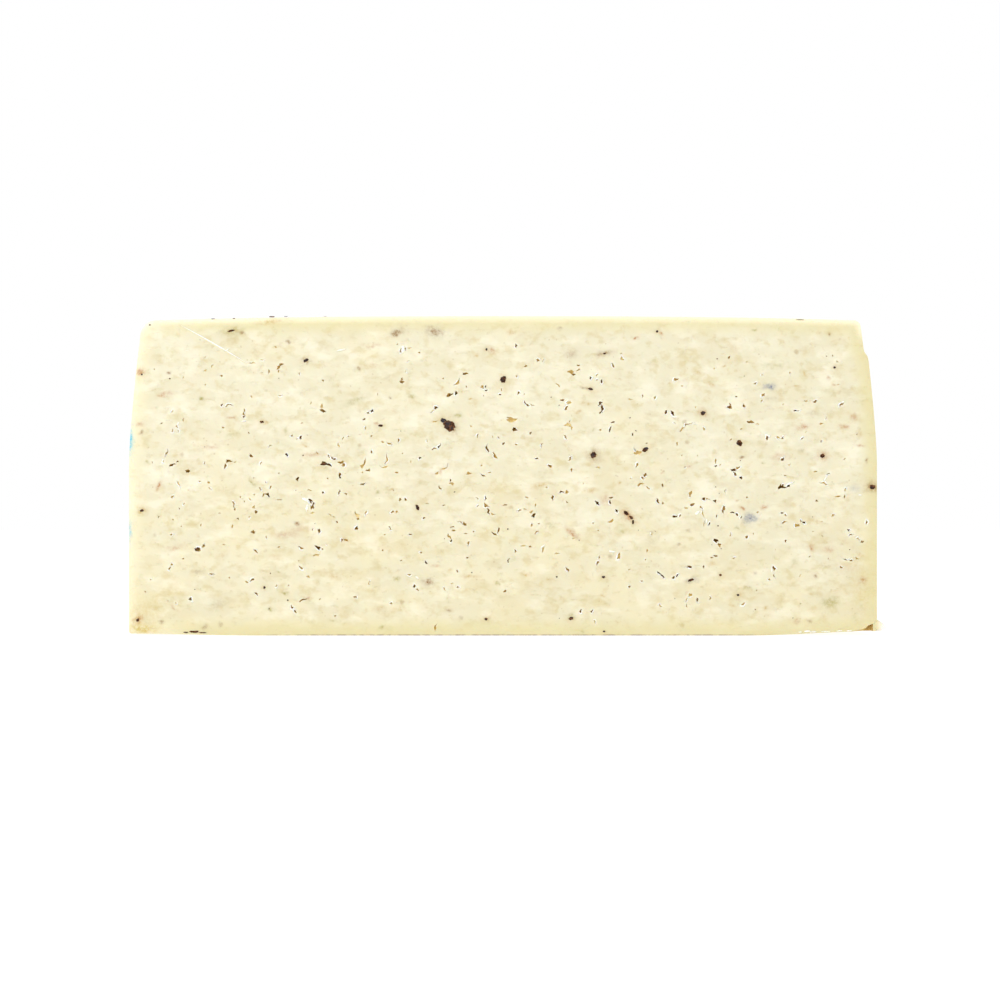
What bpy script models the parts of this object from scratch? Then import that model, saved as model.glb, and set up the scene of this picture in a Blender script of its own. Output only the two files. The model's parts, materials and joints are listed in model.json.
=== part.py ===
"""Half a wheel of truffle cheese, standing on its flat underside with the cut face towards -Y.

A Blender 4.5 script in metres, +Z up. The origin is the middle of the footprint, on the surface that
the cheese rests on. The whole cheese is one solid: the rind is its skin, the openings between the
curds are pits in the cut face, and the truffle pieces stand a little proud of it.
"""

import math
import random

import bmesh
import bpy
from mathutils import Vector, noise

MM = 0.001

# Driving dimensions of the wheel, before it was cut in half
RADIUS = 120.0 * MM
HEIGHT = 102.5 * MM
TOP_CROWN = 1.5 * MM
CROWN_POWER = 3

# The side stands upright, then leans in towards the top rim
LEAN_START = 56.0 * MM
LEAN_IN = 4.4 * MM
LEAN_POWER = 1.35

# Rounding of the rims, as radii: the top rim is tight at the right end of the cut, softer at the left
SHOULDER_RIGHT = 2.4 * MM
SHOULDER_LEFT = 5.2 * MM
FOOT_ROUNDING = 0.8 * MM

# The underside is flat in the middle and lifts slightly towards the rim, most of all at the right end
FLAT_RADIUS = 78.0 * MM
FOOT_LIFT = 0.6 * MM
FOOT_LIFT_RIGHT = 1.4 * MM

# The knife shaved the right shoulder a little, just beside the cut
SHAVE_HEIGHT = 90.3 * MM
SHAVE_DEPTH = 1.2 * MM
SHAVE_BLEND = 2.6 * MM
RIGHT_END_SPREAD = math.radians(16)

# A pressed rind is never quite round or flat; the unevenness fades out beside the cut
RIND_WAVE = 0.8 * MM
RIND_WAVE_LENGTH = 34.0 * MM
TOP_WAVE = 0.5 * MM
WAVE_FADE = 0.3
PATTERN_ROW = 17.0

# How finely the skin is divided
TURN_STEPS = 60
UNDERSIDE_STEPS = 6
FOOT_STEPS = 3
SIDE_STEPS = 13
SHOULDER_STEPS = 5
TOP_STEPS = 7
CUT_CELL = 12.0 * MM
CUT_CELL_OFFSET = 0.37

# The photograph is square on to the cut, so one pixel of it is the same length anywhere on the face
PIXEL = 0.3209 * MM
AXIS_PIXEL = 503.0
FOOT_PIXEL = 635.5

# Openings: the gaps between curds that the cut runs through
OPENING_CORNERS = 7
CORNER_SHIFT = 0.28
CORNER_REACH = (0.78, 1.12)
OPENING_BEND = (-0.15, 0.25)
OPENING_DRIFT = 0.3
OPENING_OVERSHOOT = 1.5 * MM
OPENING_RINGS = ((0.0, 1.0), (0.55, 0.84), (1.0, 0.42))
SHALLOWEST_OPENING = 0.8 * MM
DEPTH_TO_SIZE = 0.75

# The larger openings, read from the photograph with the eye, in pixels of it:
# across, down, length, width, and tilt in degrees, where rising to the right is positive
MAIN_OPENINGS = (
    (280.5, 366.5, 8.5, 3.6, 55), (188, 471, 5.6, 3.4, -20), (228, 463, 7, 4.4, 45),
    (244, 414, 9, 2.4, 85), (286.5, 454.5, 3.6, 3.2, 45), (300.5, 437.5, 4, 2.4, 80),
    (297.5, 479, 4.8, 3.2, 75), (266, 493.5, 8.5, 3, -45), (255, 510, 9, 3.2, 75),
    (311.5, 504.5, 13, 4.2, -75), (198.5, 549, 7, 5, -10), (319.5, 531, 5.5, 3.4, 85),
    (318, 547.5, 5.4, 3.6, -20), (294, 609.5, 9, 2.2, -55), (402, 381.5, 4.6, 3.8, 90),
    (451, 394.5, 9.5, 3.4, 22), (457, 382.5, 9.5, 2.2, 48), (435.5, 409, 6, 3.2, 30),
    (323, 410, 8.5, 3.2, -15), (370, 412, 6.5, 3, 15), (327, 464, 11, 3.6, -8),
    (342, 463.5, 7, 3.6, -10), (340, 475.5, 6, 2.6, 86), (363.5, 465, 12.5, 2.6, 65),
    (386, 462, 10, 2.2, 78), (491, 452.5, 14, 2.2, -62), (487, 508, 15, 3, -60),
    (358, 515.5, 10, 3.2, -62), (356, 529, 5, 4.4, 30), (345, 540, 6, 3, -15), (450, 538, 10, 2.6, -65),
    (464, 523.5, 7, 2.8, -20), (496.5, 532, 8, 2.6, 78), (572, 373, 8.5, 4.6, -12),
    (601.5, 381.5, 4.8, 2.4, 86), (511.5, 419.5, 10, 6, -10), (514.5, 429.5, 4.8, 2.8, 10),
    (568, 403.5, 7, 4.4, 40), (568, 425, 8.5, 4.2, -30), (601.5, 407, 11, 3, 75),
    (610, 429, 6, 2.6, 76), (670, 413, 9, 3, -40), (637, 454.5, 9, 4, -5), (549.5, 466, 5.4, 3, -15),
    (645, 475.5, 4.6, 3.4, 30), (565, 492, 9, 3.2, 5), (532.5, 514, 7.5, 5.6, 55),
    (543, 549.5, 6.4, 3, 68), (642, 484.5, 9, 3.6, -10), (597, 503, 6, 3, -50),
    (613.5, 506.5, 8, 2.6, -66), (611, 521, 7, 3.6, 25), (658, 501.5, 5.4, 2.6, -75),
    (675.5, 516.5, 6.5, 3, 20), (690, 494.5, 7, 4, 70), (692, 505.5, 7, 3.4, 20),
    (618.5, 557, 7, 3.4, 78), (661, 574.5, 7, 2.4, -42), (675, 577, 6, 3, 50),
    (689.5, 567, 6.2, 3.2, 0), (690, 597, 7, 3.4, 55), (729.5, 407, 5, 4, 30),
    (744, 406, 4.6, 3.4, -60), (751, 422.5, 9, 3, -8), (767, 438, 4.8, 2.6, 80),
    (783, 459.5, 5, 2.8, 46), (735, 472, 9.5, 3.4, -30), (784, 486.5, 13, 3, 8),
    (703.5, 499, 3.6, 3, 20), (723.5, 509, 7.2, 3, 70), (736, 514.5, 7, 2.6, -35),
    (717, 543, 8, 3.6, -48), (797, 525, 7.5, 4, 20), (774, 568.5, 5.2, 2.8, -62),
)

# Small openings between them, drawn with a fixed seed: few near the rind, most at half height
SCATTERED_OPENINGS = 44
SCATTER_SEED = 11
SCATTER_HEIGHTS = 1.9
SMALLEST_OPENING = 1.1 * MM
LARGEST_SCATTERED = 2.2 * MM
SCATTERED_WIDTHS = (0.45, 0.8)
SCATTERED_TILT = (0.3, 1.0)
RIM_CLEARANCE = 7.0 * MM
OPENING_GAP = 1.6 * MM

# Truffle pieces in the cut face, in pixels: across, down, length, width, and tilt in degrees
TRUFFLE_PIECES = (
    (448.5, 424, 15, 9.6, -38), (231.5, 331, 9, 3.2, 14), (503, 380, 6.8, 6, 20),
    (306, 360.5, 6.8, 4, 22), (262, 422, 5.4, 3.6, 0), (380.5, 425.5, 6, 3.4, 0),
    (604.5, 353.5, 6.4, 3.6, 5), (590.5, 389, 6.4, 3.4, -12), (593.5, 455, 7.6, 6.6, 80),
    (645.5, 449.5, 7.4, 5, 28), (703, 413, 6.2, 5.4, 20), (739.5, 443, 8, 6.4, -52),
    (822.5, 456, 6.2, 5.4, 0), (871.2, 487, 6.6, 5.4, -10), (626.5, 513, 8, 4.6, -40),
    (631.5, 518.5, 7, 3.8, -60), (691, 580, 8, 3.6, 18), (571, 618.5, 6.6, 4.2, 10),
)
TRUFFLE_PROUD = 0.35 * MM
TRUFFLE_DEPTH = 1.4 * MM
TRUFFLE_ROUGHNESS = 0.32
TRUFFLE_LUMPS = 1.9
PATTERN_STEP = 7.3

# A shallow score across the upper left of the cut face
SCORE_START = (-104.5 * MM, 99.2 * MM)
SCORE_END = (-82.8 * MM, 87.6 * MM)
SCORE_WIDTH = 0.7 * MM
SCORE_DEPTH = 0.35 * MM

# The lower right corner: a wedge of paste broke out at the foot, and a thin flap of it hangs outside
WEDGE_POINT = (112.9 * MM, 1.2 * MM)
WEDGE_MIDDLE = (116.2 * MM, 2.1 * MM)
WEDGE_END = 118.7 * MM
WEDGE_TOP = 3.8 * MM
WEDGE_REACH = 5.0 * MM
WEDGE_CLEAR = 1.0 * MM
WEDGE_NARROWING = 0.6
FLAP_ROOT = 117.6 * MM
FLAP_TOP = 4.0 * MM
FLAP_TIP = (122.9 * MM, 1.7 * MM)
FLAP_THICKNESS = 1.0 * MM
FLAP_REACH = 8.5 * MM
FLAP_STEPS = 6
FLAP_DROOP = 2.2
FLAP_THINNING = (1.3, 0.75)
FLAP_TAPER = 0.7
FLAP_SET_BACK = 0.08

PASTE_COLOUR = (0.915, 0.845, 0.61, 1.0)
PASTE_ROUGHNESS = 0.48
SHARP_TURN = math.radians(32)


def clear_scene():
    for obj in list(bpy.data.objects):
        bpy.data.objects.remove(obj, do_unlink=True)


def smooth_step(value, low, high):
    """0 below low, 1 above high, and an eased rise between."""
    share = min(1.0, max(0.0, (value - low) / (high - low)))
    return share * share * (3 - 2 * share)


def wave(angle, height, row):
    """Slow unevenness from -1 to 1 over the skin; row picks one of several independent patterns."""
    point = Vector((math.cos(angle) * RADIUS, math.sin(angle) * RADIUS, height)) / RIND_WAVE_LENGTH
    fade = smooth_step(math.sin(angle), 0.0, WAVE_FADE)
    return noise.noise(point + Vector((0.0, 0.0, PATTERN_ROW * row))) * fade


def right_end(angle):
    """1 at the right end of the cut, easing to 0 a little way round the wheel."""
    return 1 - smooth_step(angle, 0.0, RIGHT_END_SPREAD)


def side_radius(angle, height):
    """Radius of the wheel at this turn and height, below the rounding of the top rim."""
    leaning = max(0.0, height - LEAN_START) / (HEIGHT - LEAN_START)
    shaved = smooth_step(height, SHAVE_HEIGHT - SHAVE_BLEND / 2, SHAVE_HEIGHT + SHAVE_BLEND / 2)
    shaved *= right_end(angle)
    inward = LEAN_IN * leaning**LEAN_POWER + SHAVE_DEPTH * shaved
    return RADIUS - inward + RIND_WAVE * wave(angle, height, 0)


def top_height(angle, radius):
    """Height of the top, which falls gently towards the rim."""
    share = radius / RADIUS
    return HEIGHT - TOP_CROWN * share**CROWN_POWER + TOP_WAVE * share * wave(angle, radius, 1)


def foot_height(angle, radius):
    """Height of the underside, flat in the middle and lifting a little towards the rim."""
    lift = FOOT_LIFT + (FOOT_LIFT_RIGHT - FOOT_LIFT) * right_end(angle)
    return lift * smooth_step(radius, FLAT_RADIUS, RADIUS)


def rib(angle):
    """Outline (radius, height) of a section at this turn: underside, foot, side, shoulder and top.

    The two ends, on the wheel's axis, are left out, because all ribs share them.
    """
    shoulder = SHOULDER_RIGHT + (SHOULDER_LEFT - SHOULDER_RIGHT) * (angle / math.pi) ** 2
    foot = side_radius(angle, FOOT_ROUNDING) - FOOT_ROUNDING
    points = [(FLAT_RADIUS / 2, 0.0)]
    for step in range(UNDERSIDE_STEPS):
        radius = FLAT_RADIUS + (foot - FLAT_RADIUS) * step / UNDERSIDE_STEPS
        points.append((radius, foot_height(angle, radius)))
    lift = foot_height(angle, foot)
    for step in range(FOOT_STEPS):
        around = math.pi / 2 * step / FOOT_STEPS
        height = lift + FOOT_ROUNDING * (1 - math.cos(around))
        points.append((foot + FOOT_ROUNDING * math.sin(around), height))
    rim_height = top_height(angle, RADIUS - LEAN_IN)
    side_top = rim_height - shoulder
    side_foot = lift + FOOT_ROUNDING
    for step in range(SIDE_STEPS + 1):
        height = side_foot + (side_top - side_foot) * step / SIDE_STEPS
        points.append((side_radius(angle, height), height))
    centre = points[-1][0] - shoulder
    for step in range(1, SHOULDER_STEPS + 1):
        around = math.pi / 2 * step / SHOULDER_STEPS
        points.append((centre + shoulder * math.cos(around), side_top + shoulder * math.sin(around)))
    drop = rim_height - top_height(angle, centre)
    for step in range(1, TOP_STEPS):
        radius = centre * (1 - step / TOP_STEPS)
        points.append((radius, top_height(angle, radius) + drop * radius / centre))
    return points


def skin_of_half_wheel(mesh):
    """Ribs set side by side through half a turn, from the cut's right end round the back to its left."""
    low = mesh.verts.new((0.0, 0.0, 0.0))
    high = mesh.verts.new((0.0, 0.0, HEIGHT))
    ribs = []
    for turn in range(TURN_STEPS + 1):
        angle = math.pi * turn / TURN_STEPS
        across, along = math.cos(angle), math.sin(angle)
        ribs.append([mesh.verts.new((r * across, r * along, z)) for r, z in rib(angle)])
    for first, second in zip(ribs, ribs[1:]):
        mesh.faces.new((low, second[0], first[0]))
        mesh.faces.new((high, first[-1], second[-1]))
        for place in range(len(first) - 1):
            mesh.faces.new((first[place], second[place], second[place + 1], first[place + 1]))
    return mesh.faces.new([low] + ribs[0] + [high] + ribs[-1][::-1])


def divide_cut_face(mesh, face):
    """Squares of CUT_CELL in the cut face keep the triangles round each opening short."""
    cut = [face]
    lines = [(Vector((1, 0, 0)), RADIUS), (Vector((0, 0, 1)), HEIGHT)]
    for direction, reach in lines:
        for step in range(-int(reach / CUT_CELL), int(reach / CUT_CELL) + 1):
            place = direction * (step + CUT_CELL_OFFSET) * CUT_CELL
            geometry = cut + list({edge for piece in cut for edge in piece.edges})
            geometry += list({vert for piece in cut for vert in piece.verts})
            bmesh.ops.bisect_plane(mesh, geom=geometry, plane_co=place, plane_no=direction, dist=1e-6)
            cut = [piece for piece in mesh.faces if abs(abs(piece.normal.y) - 1) < 1e-4
                   and all(abs(vert.co.y) < 1e-6 for vert in piece.verts)]


def make_body():
    """The half wheel with a plain cut face on y = 0."""
    mesh = bmesh.new()
    face = skin_of_half_wheel(mesh)
    mesh.normal_update()
    divide_cut_face(mesh, face)
    bmesh.ops.recalc_face_normals(mesh, faces=mesh.faces)
    return object_from(mesh, "cheese")


def object_from(mesh, name):
    data = bpy.data.meshes.new(name)
    mesh.to_mesh(data)
    mesh.free()
    obj = bpy.data.objects.new(name, data)
    bpy.context.scene.collection.objects.link(obj)
    return obj


def on_face(across_pixel, down_pixel):
    """A place on the cut face as metres from the wheel's axis and height, from pixels."""
    return (across_pixel - AXIS_PIXEL) * PIXEL, (FOOT_PIXEL - down_pixel) * PIXEL


def opening_outline(length, width, draw):
    """A ragged, slightly bowed oval, as (along, across) points round its middle."""
    points = []
    bend = draw.uniform(*OPENING_BEND)
    for corner in range(OPENING_CORNERS):
        around = 2 * math.pi * (corner + draw.uniform(-CORNER_SHIFT, CORNER_SHIFT)) / OPENING_CORNERS
        reach = draw.uniform(*CORNER_REACH)
        along = length / 2 * reach * math.cos(around)
        bowed = bend * width * ((2 * along / length) ** 2 - 0.5)
        points.append((along, width / 2 * reach * math.sin(around) + bowed))
    return points


def add_opening(mesh, across, height, length, width, tilt, draw):
    """One closed cutter: its mouth is on the cut face and it narrows to an off-centre floor."""
    cosine, sine = math.cos(tilt), math.sin(tilt)
    depth = SHALLOWEST_OPENING + DEPTH_TO_SIZE * math.sqrt(length * width)
    outline = opening_outline(length, width, draw)
    drift_along = draw.uniform(-OPENING_DRIFT, OPENING_DRIFT) * width
    drift_aside = draw.uniform(-OPENING_DRIFT, OPENING_DRIFT) * width
    rings = []
    for share, size in ((-OPENING_OVERSHOOT / depth, 1.0),) + OPENING_RINGS:
        inward = max(0.0, share)
        ring = []
        for along, aside in outline:
            x = size * along + drift_along * inward
            z = size * aside + drift_aside * inward
            place = (across + x * cosine - z * sine, share * depth, height + x * sine + z * cosine)
            ring.append(mesh.verts.new(place))
        rings.append(ring)
    mesh.faces.new(rings[0])
    mesh.faces.new(rings[-1][::-1])
    for outer, inner in zip(rings, rings[1:]):
        for place in range(OPENING_CORNERS):
            after = (place + 1) % OPENING_CORNERS
            mesh.faces.new((outer[place], inner[place], inner[after], outer[after]))


def inside_cut(across, height, clearance):
    """Whether a point of the cut face lies at least this far from the rind."""
    angle = 0.0 if across > 0 else math.pi
    if not clearance < height < HEIGHT - TOP_CROWN - clearance:
        return False
    return abs(across) < side_radius(angle, height) - clearance


def scattered_openings(draw):
    """Places for the small openings: few near the rind, none on a larger opening or a truffle piece."""
    taken = [(*on_face(row[0], row[1]), row[2] * PIXEL / 2) for row in MAIN_OPENINGS + TRUFFLE_PIECES]
    found = []
    while len(found) < SCATTERED_OPENINGS:
        across = draw.uniform(-RADIUS, RADIUS)
        height = HEIGHT * draw.betavariate(SCATTER_HEIGHTS, SCATTER_HEIGHTS)
        length = SMALLEST_OPENING + (LARGEST_SCATTERED - SMALLEST_OPENING) * draw.random() ** 2
        reach = length / 2
        if not inside_cut(across, height, RIM_CLEARANCE):
            continue
        if near_score(across, height, reach + OPENING_GAP):
            continue
        if any(math.hypot(across - x, height - z) < reach + r + OPENING_GAP for x, z, r in taken):
            continue
        taken.append((across, height, reach))
        found.append((across, height, length))
    return found


def near_score(across, height, distance):
    """Whether a point is this close to the score in the cut face."""
    start, end = Vector(SCORE_START), Vector(SCORE_END)
    line = end - start
    share = min(1.0, max(0.0, (Vector((across, height)) - start).dot(line) / line.length_squared))
    return (Vector((across, height)) - start - line * share).length < distance


def make_opening_cutters():
    """Every opening as one mesh of separate closed shells."""
    draw = random.Random(SCATTER_SEED)
    mesh = bmesh.new()
    for across, down, length, width, tilt in MAIN_OPENINGS:
        place = on_face(across, down)
        add_opening(mesh, *place, length * PIXEL, width * PIXEL, math.radians(tilt), draw)
    for across, height, length in scattered_openings(draw):
        width = length * draw.uniform(*SCATTERED_WIDTHS)
        add_opening(mesh, across, height, length, width, draw.gauss(*SCATTERED_TILT), draw)
    bmesh.ops.recalc_face_normals(mesh, faces=mesh.faces)
    return hidden_cutter(object_from(mesh, "openings_cutter"))


def make_score_cutter():
    """A long V-shaped groove, laid along the score."""
    start = Vector((SCORE_START[0], 0.0, SCORE_START[1]))
    end = Vector((SCORE_END[0], 0.0, SCORE_END[1]))
    aside = (end - start).normalized().cross(Vector((0, 1, 0))) * SCORE_WIDTH
    outward = Vector((0, -SCORE_DEPTH, 0))
    mesh = bmesh.new()
    ends = []
    for place in (start, end):
        corners = (place - aside + outward, place + aside + outward, place - outward)
        ends.append([mesh.verts.new(corner) for corner in corners])
    mesh.faces.new(ends[0])
    mesh.faces.new(ends[1][::-1])
    for corner in range(3):
        after = (corner + 1) % 3
        mesh.faces.new((ends[0][corner], ends[1][corner], ends[1][after], ends[0][after]))
    bmesh.ops.recalc_face_normals(mesh, faces=mesh.faces)
    return hidden_cutter(object_from(mesh, "score_cutter"))


def make_wedge_cutter():
    """The wedge of air under the lower right corner, narrowing to a point leftwards and inwards."""
    low = -WEDGE_CLEAR
    outer = (WEDGE_POINT, WEDGE_MIDDLE, (WEDGE_END, WEDGE_TOP), (WEDGE_END, low), (WEDGE_POINT[0], low))
    mesh = bmesh.new()
    front = [mesh.verts.new((x, -WEDGE_CLEAR, z)) for x, z in outer]
    middle = [mesh.verts.new((x, 0.0, z)) for x, z in outer]
    back = [mesh.verts.new((x + (WEDGE_END - x) * WEDGE_NARROWING, WEDGE_REACH, z)) for x, z in outer]
    mesh.faces.new(front)
    mesh.faces.new(back[::-1])
    for ring, after_ring in ((front, middle), (middle, back)):
        for corner in range(len(outer)):
            after = (corner + 1) % len(outer)
            mesh.faces.new((ring[corner], after_ring[corner], after_ring[after], ring[after]))
    bmesh.ops.recalc_face_normals(mesh, faces=mesh.faces)
    return hidden_cutter(object_from(mesh, "wedge_cutter"))


def hidden_cutter(obj):
    obj.hide_render = True
    obj.display_type = "WIRE"
    return obj


def cut_with(obj, cutter):
    cut = obj.modifiers.new(cutter.name, "BOOLEAN")
    cut.operation = "DIFFERENCE"
    cut.solver = "MANIFOLD"
    cut.object = cutter


def make_truffle_piece(number, across, down, length, width, tilt):
    """A knobbly lump, nearly all of it inside the cheese."""
    mesh = bmesh.new()
    bmesh.ops.create_icosphere(mesh, subdivisions=2, radius=1.0)
    x, z = on_face(across, down)
    turn = math.radians(tilt)
    middle = (TRUFFLE_DEPTH - TRUFFLE_PROUD) / 2
    pattern = Vector((number * PATTERN_STEP, 0, 0))
    for vert in mesh.verts:
        lump = 1 + TRUFFLE_ROUGHNESS * noise.noise(vert.co * TRUFFLE_LUMPS + pattern)
        along, aside = vert.co.x * lump * length * PIXEL / 2, vert.co.z * lump * width * PIXEL / 2
        vert.co = Vector((
            x + along * math.cos(turn) - aside * math.sin(turn),
            middle + vert.co.y * (TRUFFLE_DEPTH + TRUFFLE_PROUD) / 2,
            z + along * math.sin(turn) + aside * math.cos(turn),
        ))
    return object_from(mesh, f"truffle_piece_{number:02d}")


def make_flap():
    """The thin flap that hangs outside the broken corner, drooping to a rounded tip."""
    mesh = bmesh.new()
    rows = []
    for step in range(FLAP_STEPS + 1):
        share = step / FLAP_STEPS
        x = FLAP_ROOT + (FLAP_TIP[0] - FLAP_ROOT) * share
        top = FLAP_TOP + (FLAP_TIP[1] - FLAP_TOP) * share**FLAP_DROOP
        thick = FLAP_THICKNESS * (FLAP_THINNING[0] - FLAP_THINNING[1] * share)
        reach = FLAP_REACH * (1 - FLAP_TAPER * share**2)
        start = FLAP_REACH * FLAP_SET_BACK * share**2
        corners = ((start, top - thick), (reach, top - thick), (reach, top), (start, top))
        rows.append([mesh.verts.new((x, y, z)) for y, z in corners])
    mesh.faces.new(rows[0])
    mesh.faces.new(rows[-1][::-1])
    for row, after in zip(rows, rows[1:]):
        for corner in range(4):
            mesh.faces.new((row[corner], after[corner], after[(corner + 1) % 4], row[(corner + 1) % 4]))
    bmesh.ops.recalc_face_normals(mesh, faces=mesh.faces)
    return object_from(mesh, "flap")


def fuse(obj, pieces):
    """Joins the pieces to the body for good, and removes them."""
    group = bpy.data.collections.new("fused_pieces")
    bpy.context.scene.collection.children.link(group)
    for piece in pieces:
        group.objects.link(piece)
        bpy.context.scene.collection.objects.unlink(piece)
    union = obj.modifiers.new("fused_pieces", "BOOLEAN")
    union.operation = "UNION"
    union.solver = "MANIFOLD"
    union.operand_type = "COLLECTION"
    union.collection = group
    bpy.context.view_layer.update()
    evaluated = obj.evaluated_get(bpy.context.evaluated_depsgraph_get())
    joined = bpy.data.meshes.new_from_object(evaluated)
    obj.modifiers.clear()
    obj.data = joined
    for piece in pieces:
        bpy.data.objects.remove(piece, do_unlink=True)
    bpy.data.collections.remove(group)


def set_origin_under_middle(obj):
    """Moves the mesh so that the middle of its footprint is the origin, on the resting surface."""
    corners = [vert.co for vert in obj.data.vertices]
    low = Vector([min(corner[axis] for corner in corners) for axis in range(3)])
    high = Vector([max(corner[axis] for corner in corners) for axis in range(3)])
    middle = (low + high) / 2
    for vert in obj.data.vertices:
        vert.co -= Vector((middle.x, middle.y, low.z))


def paste_material():
    material = bpy.data.materials.new("truffle_cheese_paste")
    material.use_nodes = True
    shader = material.node_tree.nodes["Principled BSDF"]
    shader.inputs["Base Color"].default_value = PASTE_COLOUR
    shader.inputs["Roughness"].default_value = PASTE_ROUGHNESS
    shader.inputs["Metallic"].default_value = 0.0
    return material


def main():
    clear_scene()
    body = make_body()
    cut_with(body, make_wedge_cutter())
    cut_with(body, make_opening_cutters())
    cut_with(body, make_score_cutter())
    pieces = [make_truffle_piece(number, *row) for number, row in enumerate(TRUFFLE_PIECES)]
    fuse(body, pieces + [make_flap()])
    for cutter in [obj for obj in bpy.data.objects if obj.name.endswith("_cutter")]:
        bpy.data.objects.remove(cutter, do_unlink=True)
    set_origin_under_middle(body)
    body.data.materials.clear()
    body.data.materials.append(paste_material())
    body.data.shade_smooth()
    body.data.set_sharp_from_angle(angle=SHARP_TURN)


main()
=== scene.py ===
# %% [markdown]
# # Half a wheel of truffle cheese
#
# The object is half of a pale pressed cheese, seen square on to its cut face. Nearly everything that
# makes it look real is on that face: gaps between curds, dark truffle pieces cut through by the knife,
# soft shadows of pieces just under the surface, and a rim that yellows towards the rind.
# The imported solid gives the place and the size. This scene builds the same half wheel again with far
# finer detail, in the same frame, and shows it in place of the solid.

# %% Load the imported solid, which is the frame for everything below
import json
import math
import random
from collections import Counter

import bmesh
import bpy
import numpy as np
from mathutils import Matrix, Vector, noise
from mathutils.geometry import delaunay_2d_cdt
from mathutils.kdtree import KDTree

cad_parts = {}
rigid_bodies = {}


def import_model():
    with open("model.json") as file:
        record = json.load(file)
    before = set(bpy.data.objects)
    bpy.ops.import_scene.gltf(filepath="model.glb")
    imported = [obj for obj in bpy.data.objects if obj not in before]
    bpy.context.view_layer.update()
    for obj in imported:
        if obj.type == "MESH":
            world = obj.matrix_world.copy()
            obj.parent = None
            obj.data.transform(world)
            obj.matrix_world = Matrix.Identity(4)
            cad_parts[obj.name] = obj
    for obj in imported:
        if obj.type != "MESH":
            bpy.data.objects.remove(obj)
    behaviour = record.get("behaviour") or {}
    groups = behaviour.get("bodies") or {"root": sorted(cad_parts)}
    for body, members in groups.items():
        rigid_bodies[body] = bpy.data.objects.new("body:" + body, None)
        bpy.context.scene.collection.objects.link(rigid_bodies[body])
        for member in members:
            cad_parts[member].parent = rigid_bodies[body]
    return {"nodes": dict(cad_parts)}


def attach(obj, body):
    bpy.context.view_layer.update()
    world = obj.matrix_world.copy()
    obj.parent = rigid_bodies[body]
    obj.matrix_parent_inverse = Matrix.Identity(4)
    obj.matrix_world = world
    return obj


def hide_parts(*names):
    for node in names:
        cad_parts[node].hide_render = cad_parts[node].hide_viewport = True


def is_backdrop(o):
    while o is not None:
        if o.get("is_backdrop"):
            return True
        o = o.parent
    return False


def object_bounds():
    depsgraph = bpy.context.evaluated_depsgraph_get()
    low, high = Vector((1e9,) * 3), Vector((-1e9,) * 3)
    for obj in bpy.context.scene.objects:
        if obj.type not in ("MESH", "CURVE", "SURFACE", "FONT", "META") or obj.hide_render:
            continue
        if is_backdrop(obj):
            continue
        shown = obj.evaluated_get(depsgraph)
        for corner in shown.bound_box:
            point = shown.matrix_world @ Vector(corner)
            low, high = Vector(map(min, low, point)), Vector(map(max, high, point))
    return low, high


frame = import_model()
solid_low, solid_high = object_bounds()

MM = 0.001
print("solid box, mm:", [round(side / MM, 1) for side in solid_high - solid_low])

# %% [markdown]
# ## Measuring the cut face
#
# The photograph looks straight at the cut, level and at right angles to it, so a pixel is the same
# length anywhere on the face. The face is 748 pixels wide and the wheel is 240 mm across, which makes
# a pixel 0.321 mm. Places on the face are written below in photograph pixels, because that is how they
# were read, and `on_face` turns them into metres from the wheel's axis and from the resting surface.
# The solid's own mesh says where the cut plane lies: it is the depth that most of its points share.

# %% The scale of the face, and where the wheel sits in the frame
PIXEL = 0.3209 * MM
AXIS_PIXEL = 503.0
FOOT_PIXEL = 635.5
FLAP_TIP = 122.9 * MM
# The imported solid's round side is made of flat facets, a hair inside the true curve, so depths shrink
# to match.
FACET_TRIM = 0.9996

solid = frame["nodes"]["cheese"]
depths = Counter(round(vert.co.y, 6) for vert in solid.data.vertices)
CUT_Y = depths.most_common(1)[0][0]
AXIS_X = solid_high.x - FLAP_TIP


def on_face(across_pixel, down_pixel):
    """A place on the cut face, in metres from the wheel's axis and from the resting surface."""
    return (across_pixel - AXIS_PIXEL) * PIXEL, (FOOT_PIXEL - down_pixel) * PIXEL


def in_frame(x, depth, z):
    """A point of the frame, from metres across the face, metres behind the cut and height."""
    return Vector((AXIS_X + x, CUT_Y + depth * FACET_TRIM, z))


def ease(value, low, high):
    """0 below low, 1 above high, and an eased rise between. Works on single numbers and on arrays."""
    share = np.clip((value - low) / (high - low), 0.0, 1.0)
    return share * share * (3 - 2 * share)


print(f"cut plane at y = {CUT_Y / MM:.2f} mm, wheel axis at x = {AXIS_X / MM:.2f} mm")

# %% [markdown]
# ## The shape of the wheel
#
# A wheel is a section turned about its axis, but this one isn't perfectly regular: the side leans in
# above half height, the top rim is tight at the right end and softer at the left, the underside lifts
# a little towards the rim, and pressing in a cloth leaves slow waves in the rind. Those are functions
# of the turn round the axis and the height, so one function, `rib`, gives the section at any turn.
# Folds of the cloth also press small hollows into the side. Waves and hollows fade out towards the cut,
# where the outline is known from the photograph.

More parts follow.
